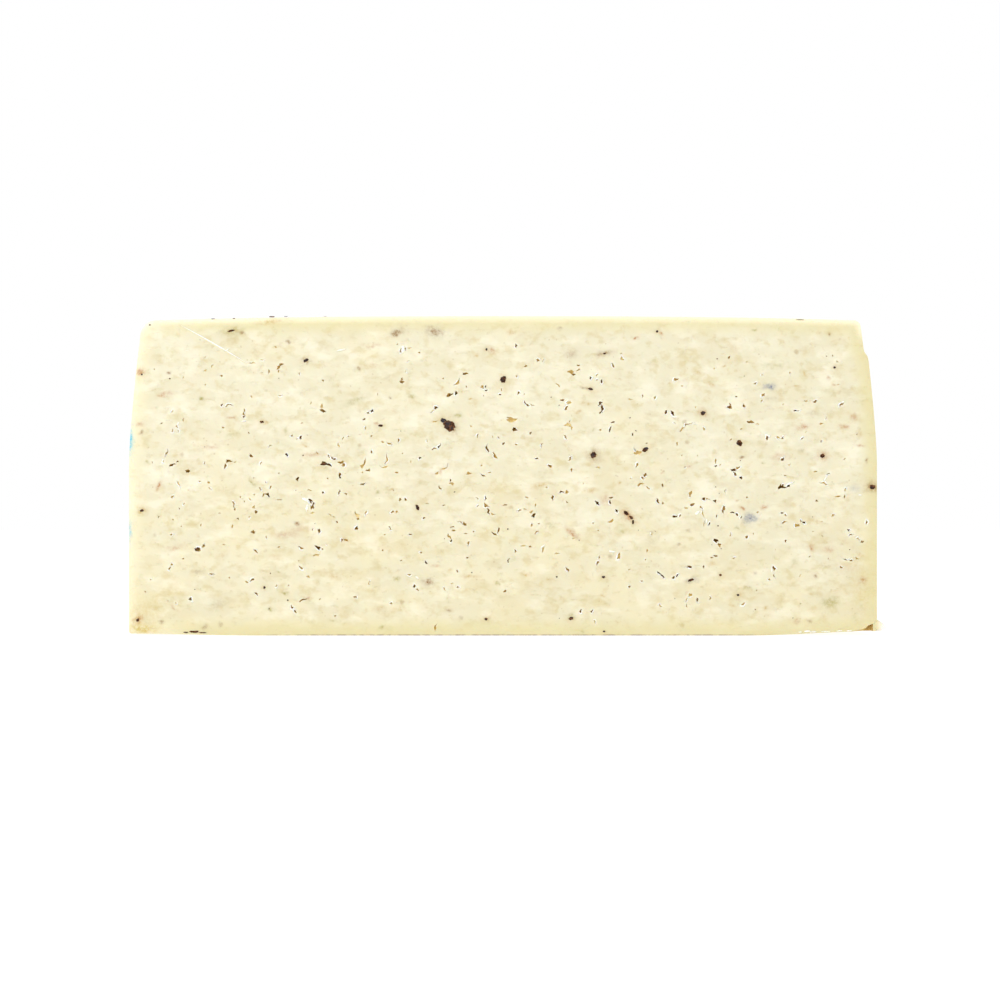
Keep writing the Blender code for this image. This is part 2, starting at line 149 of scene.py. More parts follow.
# %% Measures of the wheel, the same as the solid's
RADIUS = 120.0 * MM
HEIGHT = 102.5 * MM
TOP_CROWN, CROWN_POWER = 1.5 * MM, 3
LEAN_START, LEAN_IN, LEAN_POWER = 56.0 * MM, 4.4 * MM, 1.35
SHOULDER_RIGHT, SHOULDER_LEFT = 2.4 * MM, 5.2 * MM
FOOT_ROUNDING = 0.8 * MM
FLAT_RADIUS, FOOT_LIFT, FOOT_LIFT_RIGHT = 78.0 * MM, 0.6 * MM, 1.4 * MM
SHAVE_HEIGHT, SHAVE_DEPTH, SHAVE_BLEND = 90.3 * MM, 1.2 * MM, 2.6 * MM
RIGHT_END_SPREAD = math.radians(16)
RIND_WAVE, RIND_WAVE_LENGTH, TOP_WAVE, WAVE_FADE = 0.8 * MM, 34.0 * MM, 0.5 * MM, 0.3
DIMPLE, DIMPLE_LENGTH, DIMPLE_SPREAD = 0.30 * MM, 10.0 * MM, 0.1

TURN_STEPS = 190
UNDERSIDE_ROWS, FOOT_ROWS, SIDE_ROWS, SHOULDER_ROWS, TOP_ROWS = 16, 5, 62, 9, 34


def rind_noise(angle, height, length, shift):
    """Noise on the rind, with features about this long, and how much of it stays this near to the cut."""
    point = Vector((math.cos(angle) * RADIUS, math.sin(angle) * RADIUS, height)) / length
    return noise.noise(point + Vector(shift)), float(ease(math.sin(angle), 0.0, WAVE_FADE))


def wave(angle, height, row):
    level, fade = rind_noise(angle, height, RIND_WAVE_LENGTH, (0.0, 0.0, 17.0 * row))
    return level * fade


def dimple(angle, height):
    """Depth of the small hollows that the cloth's folds press into the side."""
    level, fade = rind_noise(angle, height, DIMPLE_LENGTH, (5.0, 0.0, 0.0))
    return DIMPLE * max(0.0, level + DIMPLE_SPREAD) * fade


def right_end(angle):
    return 1 - float(ease(angle, 0.0, RIGHT_END_SPREAD))


def side_radius(angle, height):
    leaning = max(0.0, height - LEAN_START) / (HEIGHT - LEAN_START)
    shaved = float(ease(height, SHAVE_HEIGHT - SHAVE_BLEND / 2, SHAVE_HEIGHT + SHAVE_BLEND / 2))
    shaved *= right_end(angle)
    waves = RIND_WAVE * wave(angle, height, 0) - dimple(angle, height)
    return RADIUS - LEAN_IN * leaning**LEAN_POWER - SHAVE_DEPTH * shaved + waves


def top_height(angle, radius):
    share = radius / RADIUS
    return HEIGHT - TOP_CROWN * share**CROWN_POWER + TOP_WAVE * share * wave(angle, radius, 1)


def foot_height(angle, radius):
    lift = FOOT_LIFT + (FOOT_LIFT_RIGHT - FOOT_LIFT) * right_end(angle)
    return lift * float(ease(radius, FLAT_RADIUS, RADIUS))


def rib(angle):
    """(radius, height) down a section at this turn: underside, foot, side, shoulder and top."""
    shoulder = SHOULDER_RIGHT + (SHOULDER_LEFT - SHOULDER_RIGHT) * (angle / math.pi) ** 2
    foot = side_radius(angle, FOOT_ROUNDING) - FOOT_ROUNDING
    points = [(FLAT_RADIUS * step / UNDERSIDE_ROWS, 0.0) for step in range(1, UNDERSIDE_ROWS)]
    for step in range(UNDERSIDE_ROWS):
        radius = FLAT_RADIUS + (foot - FLAT_RADIUS) * step / UNDERSIDE_ROWS
        points.append((radius, foot_height(angle, radius)))
    lift = foot_height(angle, foot)
    for step in range(FOOT_ROWS):
        around = math.pi / 2 * step / FOOT_ROWS
        rise = FOOT_ROUNDING * (1 - math.cos(around))
        points.append((foot + FOOT_ROUNDING * math.sin(around), lift + rise))
    rim_height = top_height(angle, RADIUS - LEAN_IN)
    side_top, side_foot = rim_height - shoulder, lift + FOOT_ROUNDING
    for step in range(SIDE_ROWS + 1):
        height = side_foot + (side_top - side_foot) * step / SIDE_ROWS
        points.append((side_radius(angle, height), height))
    centre = points[-1][0] - shoulder
    for step in range(1, SHOULDER_ROWS + 1):
        around = math.pi / 2 * step / SHOULDER_ROWS
        points.append((centre + shoulder * math.cos(around), side_top + shoulder * math.sin(around)))
    drop = rim_height - top_height(angle, centre)
    for step in range(1, TOP_ROWS):
        radius = centre * (1 - step / TOP_ROWS)
        points.append((radius, top_height(angle, radius) + drop * radius / centre))
    return points


# %% [markdown]
# ## What was read off the cut face
#
# Each opening is a ragged hole where curds did not knit. Real ones are random, but the larger ones are
# what the eye recognises, so they are placed one by one, and only the pinholes between them are drawn
# at random. A row says: pixels across and down, length, width, tilt (rising to the right is positive),
# how dark it is inside (0 tan to 1 black) and how much torn pale lip stands at its mouth.

# %% Openings between the curds
OPENINGS = (
    (281, 364.5, 5, 3, 40, .8, .3), (278.5, 367.5, 5, 3, 65, .7, 0), (278.5, 371.5, 2.6, 1.7, 90, .6, .3),
    (269, 371.5, 4.5, 2, 80, .6, .3), (299.5, 374, 3, 1.1, 85, .4, .5), (276, 347, 3, 1.6, -60, .5, .3),
    (212, 366, 4.5, 1.8, 50, .5, .4), (205.5, 370.5, 3.5, 1.6, 25, .4, .2), (252, 363, 6, 1.2, 5, .3, .7),
    (262, 360, 4, 1.2, 5, .3, .7), (183.5, 377.5, 3, 1.2, 60, .4, .3), (222, 405, 4, 1.8, 55, .8, .6),
    (229, 405, 7.5, 1.3, 8, .6, .9), (244, 413, 8, 2.2, 85, .5, .6), (244, 417, 3, 2.4, 0, .9, .5),
    (280, 395.5, 5, 1.1, 0, .4, .6), (205.5, 385, 3, 1.1, 80, .4, .3), (172.5, 411.5, 3.4, 1.5, 45, .3, .8),
    (183.5, 419.5, 3.6, 1.1, 80, .6, .2), (177, 426.5, 3, 1.8, -60, .6, .7),
    (172.5, 431, 3.4, 1.5, 75, .5, .7), (178.5, 431, 3, 1.1, 90, .6, .8), (167, 452.5, 7, 1.8, 68, .6, .6),
    (163.5, 461, 4, 1.1, 85, .3, .8), (172, 465, 7.5, 1.3, 28, .9, .4),
    (177.5, 461.5, 2.4, 1.8, 30, .8, .3), (188, 471, 5.2, 3.4, -20, .9, .3),
    (229, 461, 5.4, 3.2, 10, .9, .3), (225.5, 466, 5.2, 2.8, 62, .9, .7), (251, 456, 4.6, 2.4, -50, .9, .4),
    (286.5, 454.5, 3, 2.8, 45, 1, .7), (300.5, 437.5, 3.6, 2.2, 80, 1, .7), (297, 439, 2, 1.3, 60, .6, .5),
    (270, 446, 4.6, 1.1, 25, .4, .5), (204.5, 463, 2.6, 1.1, 80, .7, .5), (261, 463, 4, 1.4, 70, .4, .8),
    (279, 473, 2, 1.1, 0, .6, .2), (302, 423, 3, 1.2, 15, .4, .2), (311, 403, 4, 1.2, 70, .4, .4),
    (297.5, 479, 4.8, 3.2, 75, 1, .4), (178.5, 483.5, 7.5, 1.3, -60, .4, .9),
    (200, 481.5, 3, 1.2, 10, .6, .5), (208.5, 482.5, 3.2, 2.2, -60, .6, .4),
    (210, 488.5, 4, 1.2, -30, .4, .7), (172.5, 497, 3.4, 2, 60, .6, .8), (184, 504, 2.8, 1.4, 40, .4, .6),
    (234, 505, 9, 1.6, -80, .5, .5), (235, 509.5, 2.6, 2, -80, .8, .3), (240.5, 497, 3, 1.1, 70, .5, .3),
    (250, 499, 4, 1.3, -50, .4, .6), (260.5, 489, 4, 1.4, -50, .6, .6), (270.5, 487, 4.4, 1.8, 60, .5, .6),
    (263.5, 495, 5, 1.7, 50, .7, .3), (268, 495, 6.4, 2.2, -42, 1, .4), (279.5, 499.5, 7, 1.1, 2, .5, .2),
    (254, 507, 4.4, 2.4, 75, .5, .3), (256, 512, 4.4, 3.4, -35, .9, .3), (309, 490, 4.4, 1.4, 0, .5, .1),
    (310.5, 501, 6.5, 3, -45, 1, 1), (312, 506, 8, 3.6, 80, .9, .6), (312.5, 513, 4.6, 1.6, 5, .4, .2),
    (201, 525, 3.4, 1.6, 80, .5, .4), (232.5, 526.5, 4, 2, -80, .5, .2), (249.5, 517, 2.4, 1.5, 60, .5, .6),
    (253, 532, 4.4, 3, -15, .9, .3), (319.3, 531, 4.6, 2.4, 85, .85, .6), (312.5, 530, 3, 1.2, 85, .5, .6),
    (171.5, 534.5, 3, 2, 30, .7, .6), (266.5, 537, 3.2, 1.2, 90, .6, .6),
    (198, 549.5, 6.4, 4.6, -20, 1, .8), (203.5, 546, 4.4, 2.8, 62, .9, .4),
    (224, 544.5, 3, 1.1, -10, .5, .1), (256, 551, 4.6, 1.6, -40, .8, .5), (279, 547, 3, 1.6, 20, .5, .3),
    (301.5, 548, 5.4, 1.8, -22, .8, .5), (318, 547.5, 5.4, 3.6, -20, 1, .5), (316, 555, 7, 2.4, 0, .4, .2),
    (172, 564.5, 2.6, 1.8, 60, .7, .7), (169.5, 568.5, 3.8, 2.2, 75, .7, .5),
    (301.5, 568, 5, 2, -40, .8, .7), (212, 574, 5, 1.4, -5, .9, .6), (229.5, 577.5, 2.6, 1.4, -60, .7, .4),
    (308, 576.5, 4, 1.8, -10, .5, .3), (247, 582, 4, 2, -30, .6, .5), (252.5, 579.5, 4.2, 2.2, 35, .8, .6),
    (276.5, 586, 3, 1.6, 60, .5, .5), (288.5, 585.5, 2, 1.1, 40, .6, .4),
    (256.5, 593.5, 5, 1.9, -50, .8, .5), (190.5, 599, 3.6, 2.8, 80, .9, .9), (168, 601, 2, 1.1, 70, .5, .4),
    (303.5, 599.5, 6.5, 1.6, 15, .8, .4), (292, 607, 4.4, 1.8, -60, .8, .7),
    (295.5, 611.5, 5, 1.8, -50, .8, .6), (400.5, 350, 6, 1.2, 85, .8, .9), (405.5, 349, 4, 1.2, 75, .7, .8),
    (409.5, 348, 5, 1.2, 5, .3, .3), (402, 382, 4, 3.6, 0, .9, .3), (402, 379, 3, 2, 90, .8, .2),
    (406.5, 371, 5, 1.1, 88, .2, .6), (465, 373.5, 6, 2, 5, .9, .3), (457, 382.5, 9.5, 1.6, 48, .6, .7),
    (449.5, 395, 8, 3.2, 25, .9, .2), (456, 393, 4.2, 2.6, 85, 1, .6), (482.5, 387, 4.4, 3.4, -40, .6, .5),
    (485.5, 386.5, 2.4, 1.6, 60, 1, .6), (486, 390.5, 2.6, 1.6, 0, .9, .5), (500, 394.5, 2.6, 2, 0, .9, .5),
    (501.5, 390, 4, 1.1, 85, .5, .4), (436, 408, 4.4, 3, 30, 1, .7), (432.5, 411, 4.4, 1.3, 40, .6, .5),
    (323, 410.5, 8.5, 2.8, -15, .9, .3), (321.5, 406.5, 4.4, 2.6, 80, .6, .4),
    (368.5, 412.5, 5, 1.9, 22, .9, .6), (372, 411, 3.2, 3, 30, 1, .7), (434, 421.5, 5, 1.6, 0, .4, .2),
    (365.5, 428, 3.2, 1.8, 85, .6, .6), (398.5, 440.5, 5, 1.3, 82, .9, .5), (382.5, 442, 3, 2, -20, .6, .4),
    (389, 443.5, 8, 1.5, -25, .5, .5), (435, 448.5, 6.5, 1.7, 6, .7, .8), (439, 446.5, 5, 1.4, 50, .9, .8),
    (427, 441, 3, 1.1, 80, .4, .7), (338.5, 445, 5, 1.8, -75, .5, .4), (371.5, 452, 3.4, 1.7, -70, .8, .6),
    (343, 438, 3, 1.1, 60, .5, .5), (348.5, 436.5, 2.2, 1.4, 0, .6, .5), (477.5, 435.5, 4, 1.5, 75, .7, .5),
    (498.5, 437.5, 2.6, 1.6, -40, .8, .5), (503.5, 443.5, 3, 2.6, 0, 1, .4),
    (487.5, 449, 8.5, 2, -68, .9, .5), (495, 456, 9, 1.6, -58, .7, .5), (420, 458, 3.2, 2.6, 40, 1, .7),
    (328.5, 456, 4, 1.5, -70, .8, .8), (332, 458, 3.4, 1.5, -75, .9, .8), (334.5, 459, 3, 2, 0, 1, .7),
    (326, 463.5, 10.5, 2.8, -4, 1, .3), (330, 465, 4, 2.4, -30, 1, .6), (341.5, 462.5, 7, 2.8, -10, .7, .4),
    (343.5, 465, 4, 2.8, 85, .8, .6), (340, 475.5, 6, 2.4, 86, 1, .6),
    (363.5, 464.5, 12.5, 2.3, 65, .5, .4), (368.5, 470, 4.6, 2.6, 5, .9, .2),
    (386.5, 459.5, 10, 1.5, 78, .5, .5), (384, 467, 8, 1.3, 0, .4, .4), (397, 472.5, 3.2, 2, 0, .6, .3),
    (437, 473, 5, 2, 30, .5, .3), (445, 468, 8, 1.4, 35, .4, .4), (469, 473, 5, 2.6, 5, .6, .3),
    (481.5, 465.5, 3, 2, 30, .5, .3), (483, 475.5, 4.6, 1.6, -30, .7, .5),
    (489.5, 472.5, 3, 1.4, 10, .5, .5), (363, 484, 7, 1.3, 18, .9, .5), (323, 492.5, 3, 2, 0, 1, .6),
    (339, 492.5, 5, 1.6, 72, .9, .6), (346, 494, 3.2, 1.8, -50, .8, .4), (400, 499.5, 3.8, 2.6, 85, .9, .4),
    (405.5, 499.5, 3.8, 2.6, -80, .8, .5), (452, 483.5, 5, 2.8, -20, .6, .4),
    (450.5, 480.5, 3, 1.4, 85, .9, .4), (440, 488, 4.6, 1.7, -50, .7, .5),
    (477.5, 498.5, 4, 1.4, -40, .5, .9), (485.5, 498.5, 5, 1.3, 88, .9, .8),
    (486, 505, 6.5, 2.8, -38, .8, .6), (488.5, 511.5, 7, 1.8, -72, .9, .3),
    (492.5, 514, 4.6, 1.8, -20, .5, .3), (505, 505, 4, 1.8, 5, .8, .1), (427, 503.5, 4, 1.1, 0, .4, .1),
    (424, 518, 2.8, 1.8, 45, .9, .5), (392.5, 512, 3.6, 1.8, 40, .7, .6), (396.5, 511.5, 3, 2, 80, .6, .4),
    (366, 512.5, 5, 1.8, 62, .6, .7), (357, 514.5, 9, 2.4, -58, .4, .3), (358, 519, 3, 2.6, 0, .8, .3),
    (356.4, 528.4, 4.2, 3.2, 30, .9, .5), (330, 514.5, 5, 1.2, -30, .4, .1),
    (334, 517, 3, 1.2, -20, .5, .1), (337, 522, 2.6, 1.8, -50, .8, .4), (346, 540, 4.4, 2, -15, .8, .4),
    (342, 540, 3.2, 1.8, 80, 1, .6), (322.5, 549, 3, 1.6, -50, .7, .7), (390, 528, 4.4, 1.2, -65, .7, .6),
    (410.5, 534.5, 3, 1.6, 0, .9, .5), (452, 527, 5, 1.2, 10, .7, .4), (453.5, 530.5, 4, 2, 15, .6, .3),
    (449, 536, 6.5, 1.7, -62, .6, .4), (451, 541, 3.2, 2.6, 60, 1, .6), (464.5, 524, 5, 2.6, -22, .9, .4),
    (460, 522, 5.5, 1.1, -18, .6, .6), (466, 533.5, 4, 1.3, 0, .6, .2), (468.5, 543.5, 5, 1.3, 85, .8, .5),
    (494.5, 534, 5, 2, -30, .9, .4), (498.5, 530.5, 6.5, 1.6, 78, .8, .6),
    (421, 552.5, 2.6, 1.9, 0, .8, .5), (426, 562.5, 4, 2, -68, .9, .6), (409.5, 574.5, 4.4, 1.4, 0, .6, .6),
    (414.5, 586, 3.2, 2.8, 80, 1, .7), (417.5, 589.5, 2.8, 1.8, -40, .7, .3),
    (369, 583, 4.4, 1.3, 80, .3, .5), (355.5, 597, 3.6, 2, -20, .8, .6), (391, 603, 2.8, 1.8, 20, .8, .5),
    (457.5, 571.5, 3, 1.5, -60, .8, .5), (452, 583.5, 2.8, 1.6, 20, .4, .4), (458, 587, 2.2, 2, 0, .7, .5),
    (444.5, 589, 4, 1.2, -60, .4, .5), (505, 591, 3.6, 2.2, 25, .8, .3), (508.5, 560, 4.4, 1.3, 62, .9, .5),
    (435.5, 628, 6.5, 1.5, 88, .6, .1), (516, 346, 3.2, 1.8, 75, 1, .5), (538, 360, 3, 2.4, 20, .9, .5),
    (543, 361, 4, 1.1, 70, .3, .7), (526, 366, 2.8, 2, 0, .8, .2), (622, 358.5, 5.5, 2, -55, .5, .5),
    (621, 353.5, 3, 1.1, 10, .5, .2), (613, 365.5, 5.5, 1.5, -62, .9, .7),
    (578.5, 365.5, 3.6, 1.5, 0, .7, .3), (571, 372, 7.5, 4, -12, .6, .2),
    (573.5, 374.5, 5, 1.8, -10, 1, .2), (578.5, 370, 5, 1.5, 20, .4, .3), (590.5, 378, 3.2, 1.7, 85, 1, .5),
    (597, 375, 3.4, 1.5, 62, .5, .6), (597, 380, 2.2, 1.6, 0, .5, .5), (601.5, 381.5, 4.6, 2, 86, 1, .5),
    (558.5, 385.5, 5, 1.6, -48, .5, .3), (518.5, 393, 3.4, 2, 62, .9, .6),
    (642.5, 396, 3.2, 1.3, 85, .7, .5), (655, 397.5, 3.6, 2.4, 62, .6, .6),
    (676, 379.5, 6, 2.2, 20, .7, .7), (682, 386, 2.4, 1.6, 0, .6, .4), (526.5, 404, 8.5, 1.3, -45, .8, .8),
    (532, 405, 5, 1.1, -10, .4, .5), (568.5, 402.5, 5, 4, 20, .4, .5), (566, 408.5, 6, 1.6, 55, .8, .7),
    (562, 400, 4, 2, -5, .8, .4), (630, 399.5, 4, 1.2, 0, .4, .1), (600, 403.5, 5.4, 2.1, 58, 1, .7),
    (602, 409, 7, 2.5, 82, 1, .7), (600.5, 412.5, 4, 2.2, 30, 1, .4), (511.5, 419.5, 9.5, 5.6, -10, .5, .3),
    (514.5, 429.5, 4.6, 3.6, 10, 1, .5), (567.5, 424.5, 6, 3.6, 10, .4, .4),
    (571, 427.5, 5, 2.2, -50, .5, .4), (569.5, 421.5, 3.4, 1.2, 85, .4, .2), (530.5, 433, 3, 2, 60, .8, .3),
    (565.5, 437, 4, 1.8, -58, .7, .6), (613, 422, 3.4, 2, 20, .9, .4), (610, 429, 5.8, 2.2, 76, 1, .9),
    (600.5, 430, 3, 1.6, 10, .7, .4), (666, 412, 4.2, 2.8, 86, 1, .6), (673, 414, 7.5, 1.8, -45, 1, .8),
    (687, 424.5, 6, 1.3, 25, .7, .5), (682.5, 429, 7, 1.5, 40, .4, .3), (693, 423.5, 6, 1.1, -5, .4, .5),
    (632.5, 434.5, 3.2, 1.7, 82, 1, .4), (541.5, 445, 5, 1.2, 62, .5, .7),
    (536.5, 458.5, 3.8, 1.6, 10, .9, .5), (570, 458.5, 5.4, 2, 62, .7, .6),
    (571.5, 469.5, 4, 1.8, -80, .7, .4), (550, 466, 5.4, 2.8, -15, .8, .5), (598, 467.5, 5, 1.6, 0, .3, .2),
    (637.5, 453, 8.5, 3.8, -5, .5, .4), (634.5, 449.5, 4.6, 1.2, -60, .8, .6),
    (637, 465, 6, 1.3, 62, .7, .8), (645, 475, 4, 3, 40, .9, .6), (677, 443.5, 4.2, 1.8, 80, .5, .4),
    (527, 497.5, 3.6, 1.8, -20, .6, .3), (562, 492, 6, 1.5, 2, .9, .6), (566.5, 492, 4.6, 3.2, 60, .6, .4),
    (552.5, 497.5, 4.4, 2.2, 85, 1, .5), (535.5, 505, 4, 1.2, 80, .5, .3), (531, 512, 4, 3, 45, .5, .4),
    (533.5, 515.5, 5, 3.8, 60, 1, .4), (520, 510, 4, 1.5, 20, .8, .6), (525, 509, 3.4, 1.2, -10, .4, .4),
    (531.5, 525, 4.4, 1.4, 84, .6, .6), (536, 532.5, 5, 1.3, 42, .6, .5),
    (530, 546.5, 3.2, 1.7, -15, .9, .3), (523, 546, 7, 1.1, 8, .3, .3), (543, 549.5, 6, 2.2, 68, .5, .6),
    (515.5, 551, 3, 1.8, -80, .9, .6), (557, 553.5, 6, 1.1, 5, .4, .4), (642.5, 478, 4.4, 2.6, -40, .7, .5),
    (640.5, 484, 7, 2.8, 5, .5, .4), (648, 488, 7, 1.1, -38, .4, .5), (662.5, 485.5, 3.6, 2.2, -70, .9, .3),
    (597, 503, 6, 2.6, -50, 1, .6), (611, 497.5, 4.2, 1.8, 15, .9, .3), (610, 502.5, 5, 1.6, -72, 1, .7),
    (616.5, 511, 4.4, 1.9, -68, 1, .7), (611, 521, 6.5, 2.6, 25, .5, .3),
    (658, 501.5, 5.4, 2.2, -75, 1, .6), (663, 503, 3, 2.2, 30, .6, .4), (674.5, 516.5, 4.8, 2.4, 0, 1, .5),
    (680, 515.5, 3.4, 1.6, 60, .7, .7), (690, 494, 6.4, 3.4, 72, .5, .5),
    (692.5, 504.5, 6.6, 3.2, 25, .8, .5), (686, 508, 4, 1.8, -10, .5, .4), (701, 507.5, 4, 2, -40, .6, .6),
    (703, 514, 9, 1.1, -72, .4, .5), (704, 523, 7, 1.1, 86, .3, .5), (647, 551, 3.2, 1.6, 80, .6, .4),
    (618.5, 557, 6.5, 3, 78, .6, .9), (599, 557.5, 3.4, 1.4, 80, .8, .5), (597.5, 563, 5, 2.2, 62, .8, .6),
    (567.5, 569.5, 5, 1.8, -50, .8, .5), (629.5, 586.5, 2.8, 1.8, 40, .8, .5),
    (659, 573, 4.4, 1.6, -38, 1, .8), (662.5, 576, 5, 1.8, -50, 1, .5), (673.5, 577.5, 4, 2.4, 70, .9, .6),
    (677, 575.5, 4.4, 1.4, 60, 1, .7), (689.5, 567, 6, 3, 0, .8, .5), (690, 595, 5, 3, 55, .5, .6),
    (686.5, 600, 5, 1.2, 60, .4, .5), (697.5, 600.5, 6.5, 1.5, -80, 1, .6),
    (641.5, 581, 3, 1.5, 10, .5, .5), (686.5, 606, 3.4, 1.6, -70, .5, .3),
    (660, 605.5, 4.6, 1.4, -40, .5, .7), (580.5, 611, 4.8, 1.9, 66, .9, .6),
    (592, 611, 4.6, 1.3, 62, .9, .6), (595, 622, 5, 1.3, -65, .4, .6), (729, 357.5, 3.2, 2, 70, .8, .3),
    (755, 383.5, 3.6, 1.8, 20, .8, .8), (762, 375, 2.2, 1.5, 0, .5, .6), (763, 395, 4.4, 2.6, 42, .7, .6),
    (761.5, 401, 3.6, 1.4, 62, .6, .5), (729.5, 407.5, 4.6, 3.4, 10, .8, .6),
    (730, 404.5, 3, 1.6, 80, .7, .4), (744, 406, 4.4, 3, -60, .9, .5), (796, 410.5, 6.4, 1.1, 0, 1, .9),
    (806, 401, 5, 1.4, 0, .4, .1), (815, 401.5, 5, 1.7, 35, .8, .5), (841, 404.5, 5, 1.7, 32, .7, .9),
    (826, 418, 3.2, 1.1, 70, .2, .7), (750, 422, 7.6, 2.6, -8, .8, .3), (757, 424, 4.4, 1.3, 0, .4, .4),
    (704, 429, 4.6, 1.7, -62, .5, .6), (821, 423.5, 4.2, 2, 10, .5, .3), (767, 438, 4.6, 2.4, 80, .8, .9),
    (778, 437.5, 4.6, 2, -45, .4, .7), (782.5, 438, 2.8, 1.7, 80, .8, .5),
    (802, 438.5, 3.4, 1.3, 38, .8, .7), (821, 441.5, 3, 1.4, 88, .7, .6),
    (782.5, 459.5, 4.4, 2.4, 48, .9, .6), (715.5, 461, 4, 1.5, 88, .6, .4),
    (715.5, 466, 2.8, 1.9, 0, 1, .5), (720, 465, 2.2, 1.3, 60, .5, .4), (733, 470, 8, 2, -15, 1, .4),
    (738, 468, 6, 1.5, 28, .7, .6), (735, 474, 5.6, 2.4, -60, .9, .6), (741, 477.5, 3.4, 2.8, -50, 1, .5),
    (815.5, 471.5, 4, 1.4, 0, .6, .2), (828, 474, 4.6, 1.3, 30, .8, .9), (785, 475.5, 2.8, 1.3, 0, .6, .3),
    (782, 487, 10, 2.5, 2, 1, .3), (788.5, 485.5, 5, 1.7, 35, 1, .9), (782.5, 485.3, 3, 1.7, 50, 1, .5),
    (824, 483.5, 7, 2, -20, .4, .8), (837, 496.5, 6, 2, 0, .5, .2), (844.5, 496.5, 4.2, 1.4, 86, .8, .4),
    (715, 501, 3, 2.8, 0, 1, .4), (703.5, 499, 3.2, 2.8, 20, 1, .5), (707.5, 499, 5, 1.2, 0, .5, .3),
    (725, 491, 4.4, 1.3, 84, .4, .6), (723.5, 509, 7, 2.4, 70, .8, .7), (716.5, 516, 3.2, 1.4, 80, .9, .5),
    (732.5, 512.5, 4.8, 1.7, 0, 1, .4), (737, 514.5, 4.6, 2.2, -48, 1, .7),
    (741, 517.5, 3.4, 1.3, 60, .8, .6), (709, 524, 4.6, 1.6, 62, .9, .7),
    (715.5, 540.5, 4.4, 3.6, -40, 1, .7), (719, 545, 4.4, 2.8, -60, .7, .4),
    (746.5, 537, 3.6, 2.8, 50, .9, .5), (730.5, 534.5, 4.2, 1.2, 84, .4, .6),
    (715.5, 556, 5, 1.4, -15, .9, .4), (711.5, 557.5, 3.4, 1.3, 10, .8, .3),
    (734, 558, 3.6, 1.5, 20, .5, .6), (703.5, 567, 3, 1.7, 84, .8, .3), (774, 568.5, 5, 2.6, -62, .8, .8),
    (774, 575.5, 5, 1.1, -80, .4, .6), (769, 579.5, 2.4, 1.7, 0, .7, .5),
    (785.5, 541, 3.6, 1.7, 84, .9, .4), (782, 513, 3.2, 1.6, 10, .9, .5),
    (785.5, 515, 3.4, 1.4, -50, .7, .6), (783.5, 522.5, 6.5, 1.4, 18, .6, .5),
    (796.5, 525.5, 5, 3.8, 10, .7, .5), (800.5, 521, 3, 1.4, 80, .6, .5), (804, 522.5, 3.2, 2.4, 0, 1, .6),
    (832.5, 515.5, 4.6, 2.2, 52, .5, .5), (848.5, 530, 2.6, 2.2, 0, 1, .5),
    (851, 534.5, 4, 1.1, 10, .4, .7), (862, 541.5, 2.8, 2.2, 0, 1, .3), (858, 539, 5, 1.1, -30, .4, .6),
    (866.5, 522, 5, 1.3, 88, .6, .9), (846, 559.5, 5.5, 1.1, 0, .6, .7), (851, 560.5, 2.8, 1.9, 0, .9, .6),
    (841, 567.5, 3.4, 1.5, -20, .7, .5), (710, 598, 5, 1.4, 84, .5, .6), (743, 604, 6, 1.3, 32, .5, .8),
    (857, 558.5, 4, 2, -20, .5, .3), (845, 490, 3.4, 1.8, 80, .5, .6),
)

# %% [markdown]
# Truffle pieces are black shavings that the knife went through, so they lie level with the cut. Some
# others lie just below it and show only as blurred brown, grey or bluish patches, and there are faint
# tan streaks where curds pressed together. The soft ones are colour only: a row adds how strong the
# patch is and its tint. The last table holds pale flakes that the blade tore up, in the same order of
# place, size and tilt.

# %% Truffle pieces, soft patches and pale torn flakes
TRUFFLES = (
    (448.8, 425.6, 14.5, 10.4, -42), (443.5, 420.5, 6, 5, -15, 0.0), (503, 380, 6.4, 6, 20),
    (504.5, 377.6, 4, 3, -30), (231.5, 330.8, 8, 2.4, 14), (306, 360.5, 6.4, 3.4, 22),
    (262, 422, 4.2, 2.8, 0), (142, 374.5, 2, 2, 0), (486.5, 349.5, 3, 2.2, 80), (380.5, 425.5, 5, 2.6, 0),
    (142, 510.5, 4.4, 2.8, 12), (264.5, 587.5, 3.2, 2.6, 80), (138, 620, 3.8, 3, 50),
    (417.5, 507.5, 7, 3.4, -72), (486, 619, 3.4, 3, 0), (593.5, 455, 7, 6.2, 80),
    (590.5, 389, 5.4, 2.4, -12), (604.5, 353.5, 3.2, 1.8, 5), (645.5, 449.5, 7, 4.6, 28),
    (657, 331.5, 2.8, 2.6, 0), (626, 513, 6.5, 3.8, -40), (631, 517.5, 5, 3, -50), (633, 522, 5, 2.2, 82),
    (603.5, 577, 3.8, 2.8, 0), (691, 580, 7, 2.6, 18), (571, 618.5, 5.6, 3.4, 10), (604, 631.3, 3, 1.8, 0),
    (703, 413, 5.4, 4.6, 20), (739.5, 443, 7.4, 5.8, -52), (822.5, 456, 5.2, 4.4, 0),
    (834.5, 367.5, 2.8, 2.4, 0), (872.3, 487, 6.8, 5.2, -10), (720.5, 575, 3, 2.4, 0),
    (738, 595, 2.8, 2.4, 0), (196, 549, 3, 2.4, 0), (324, 463.8, 5, 2, 0),
)

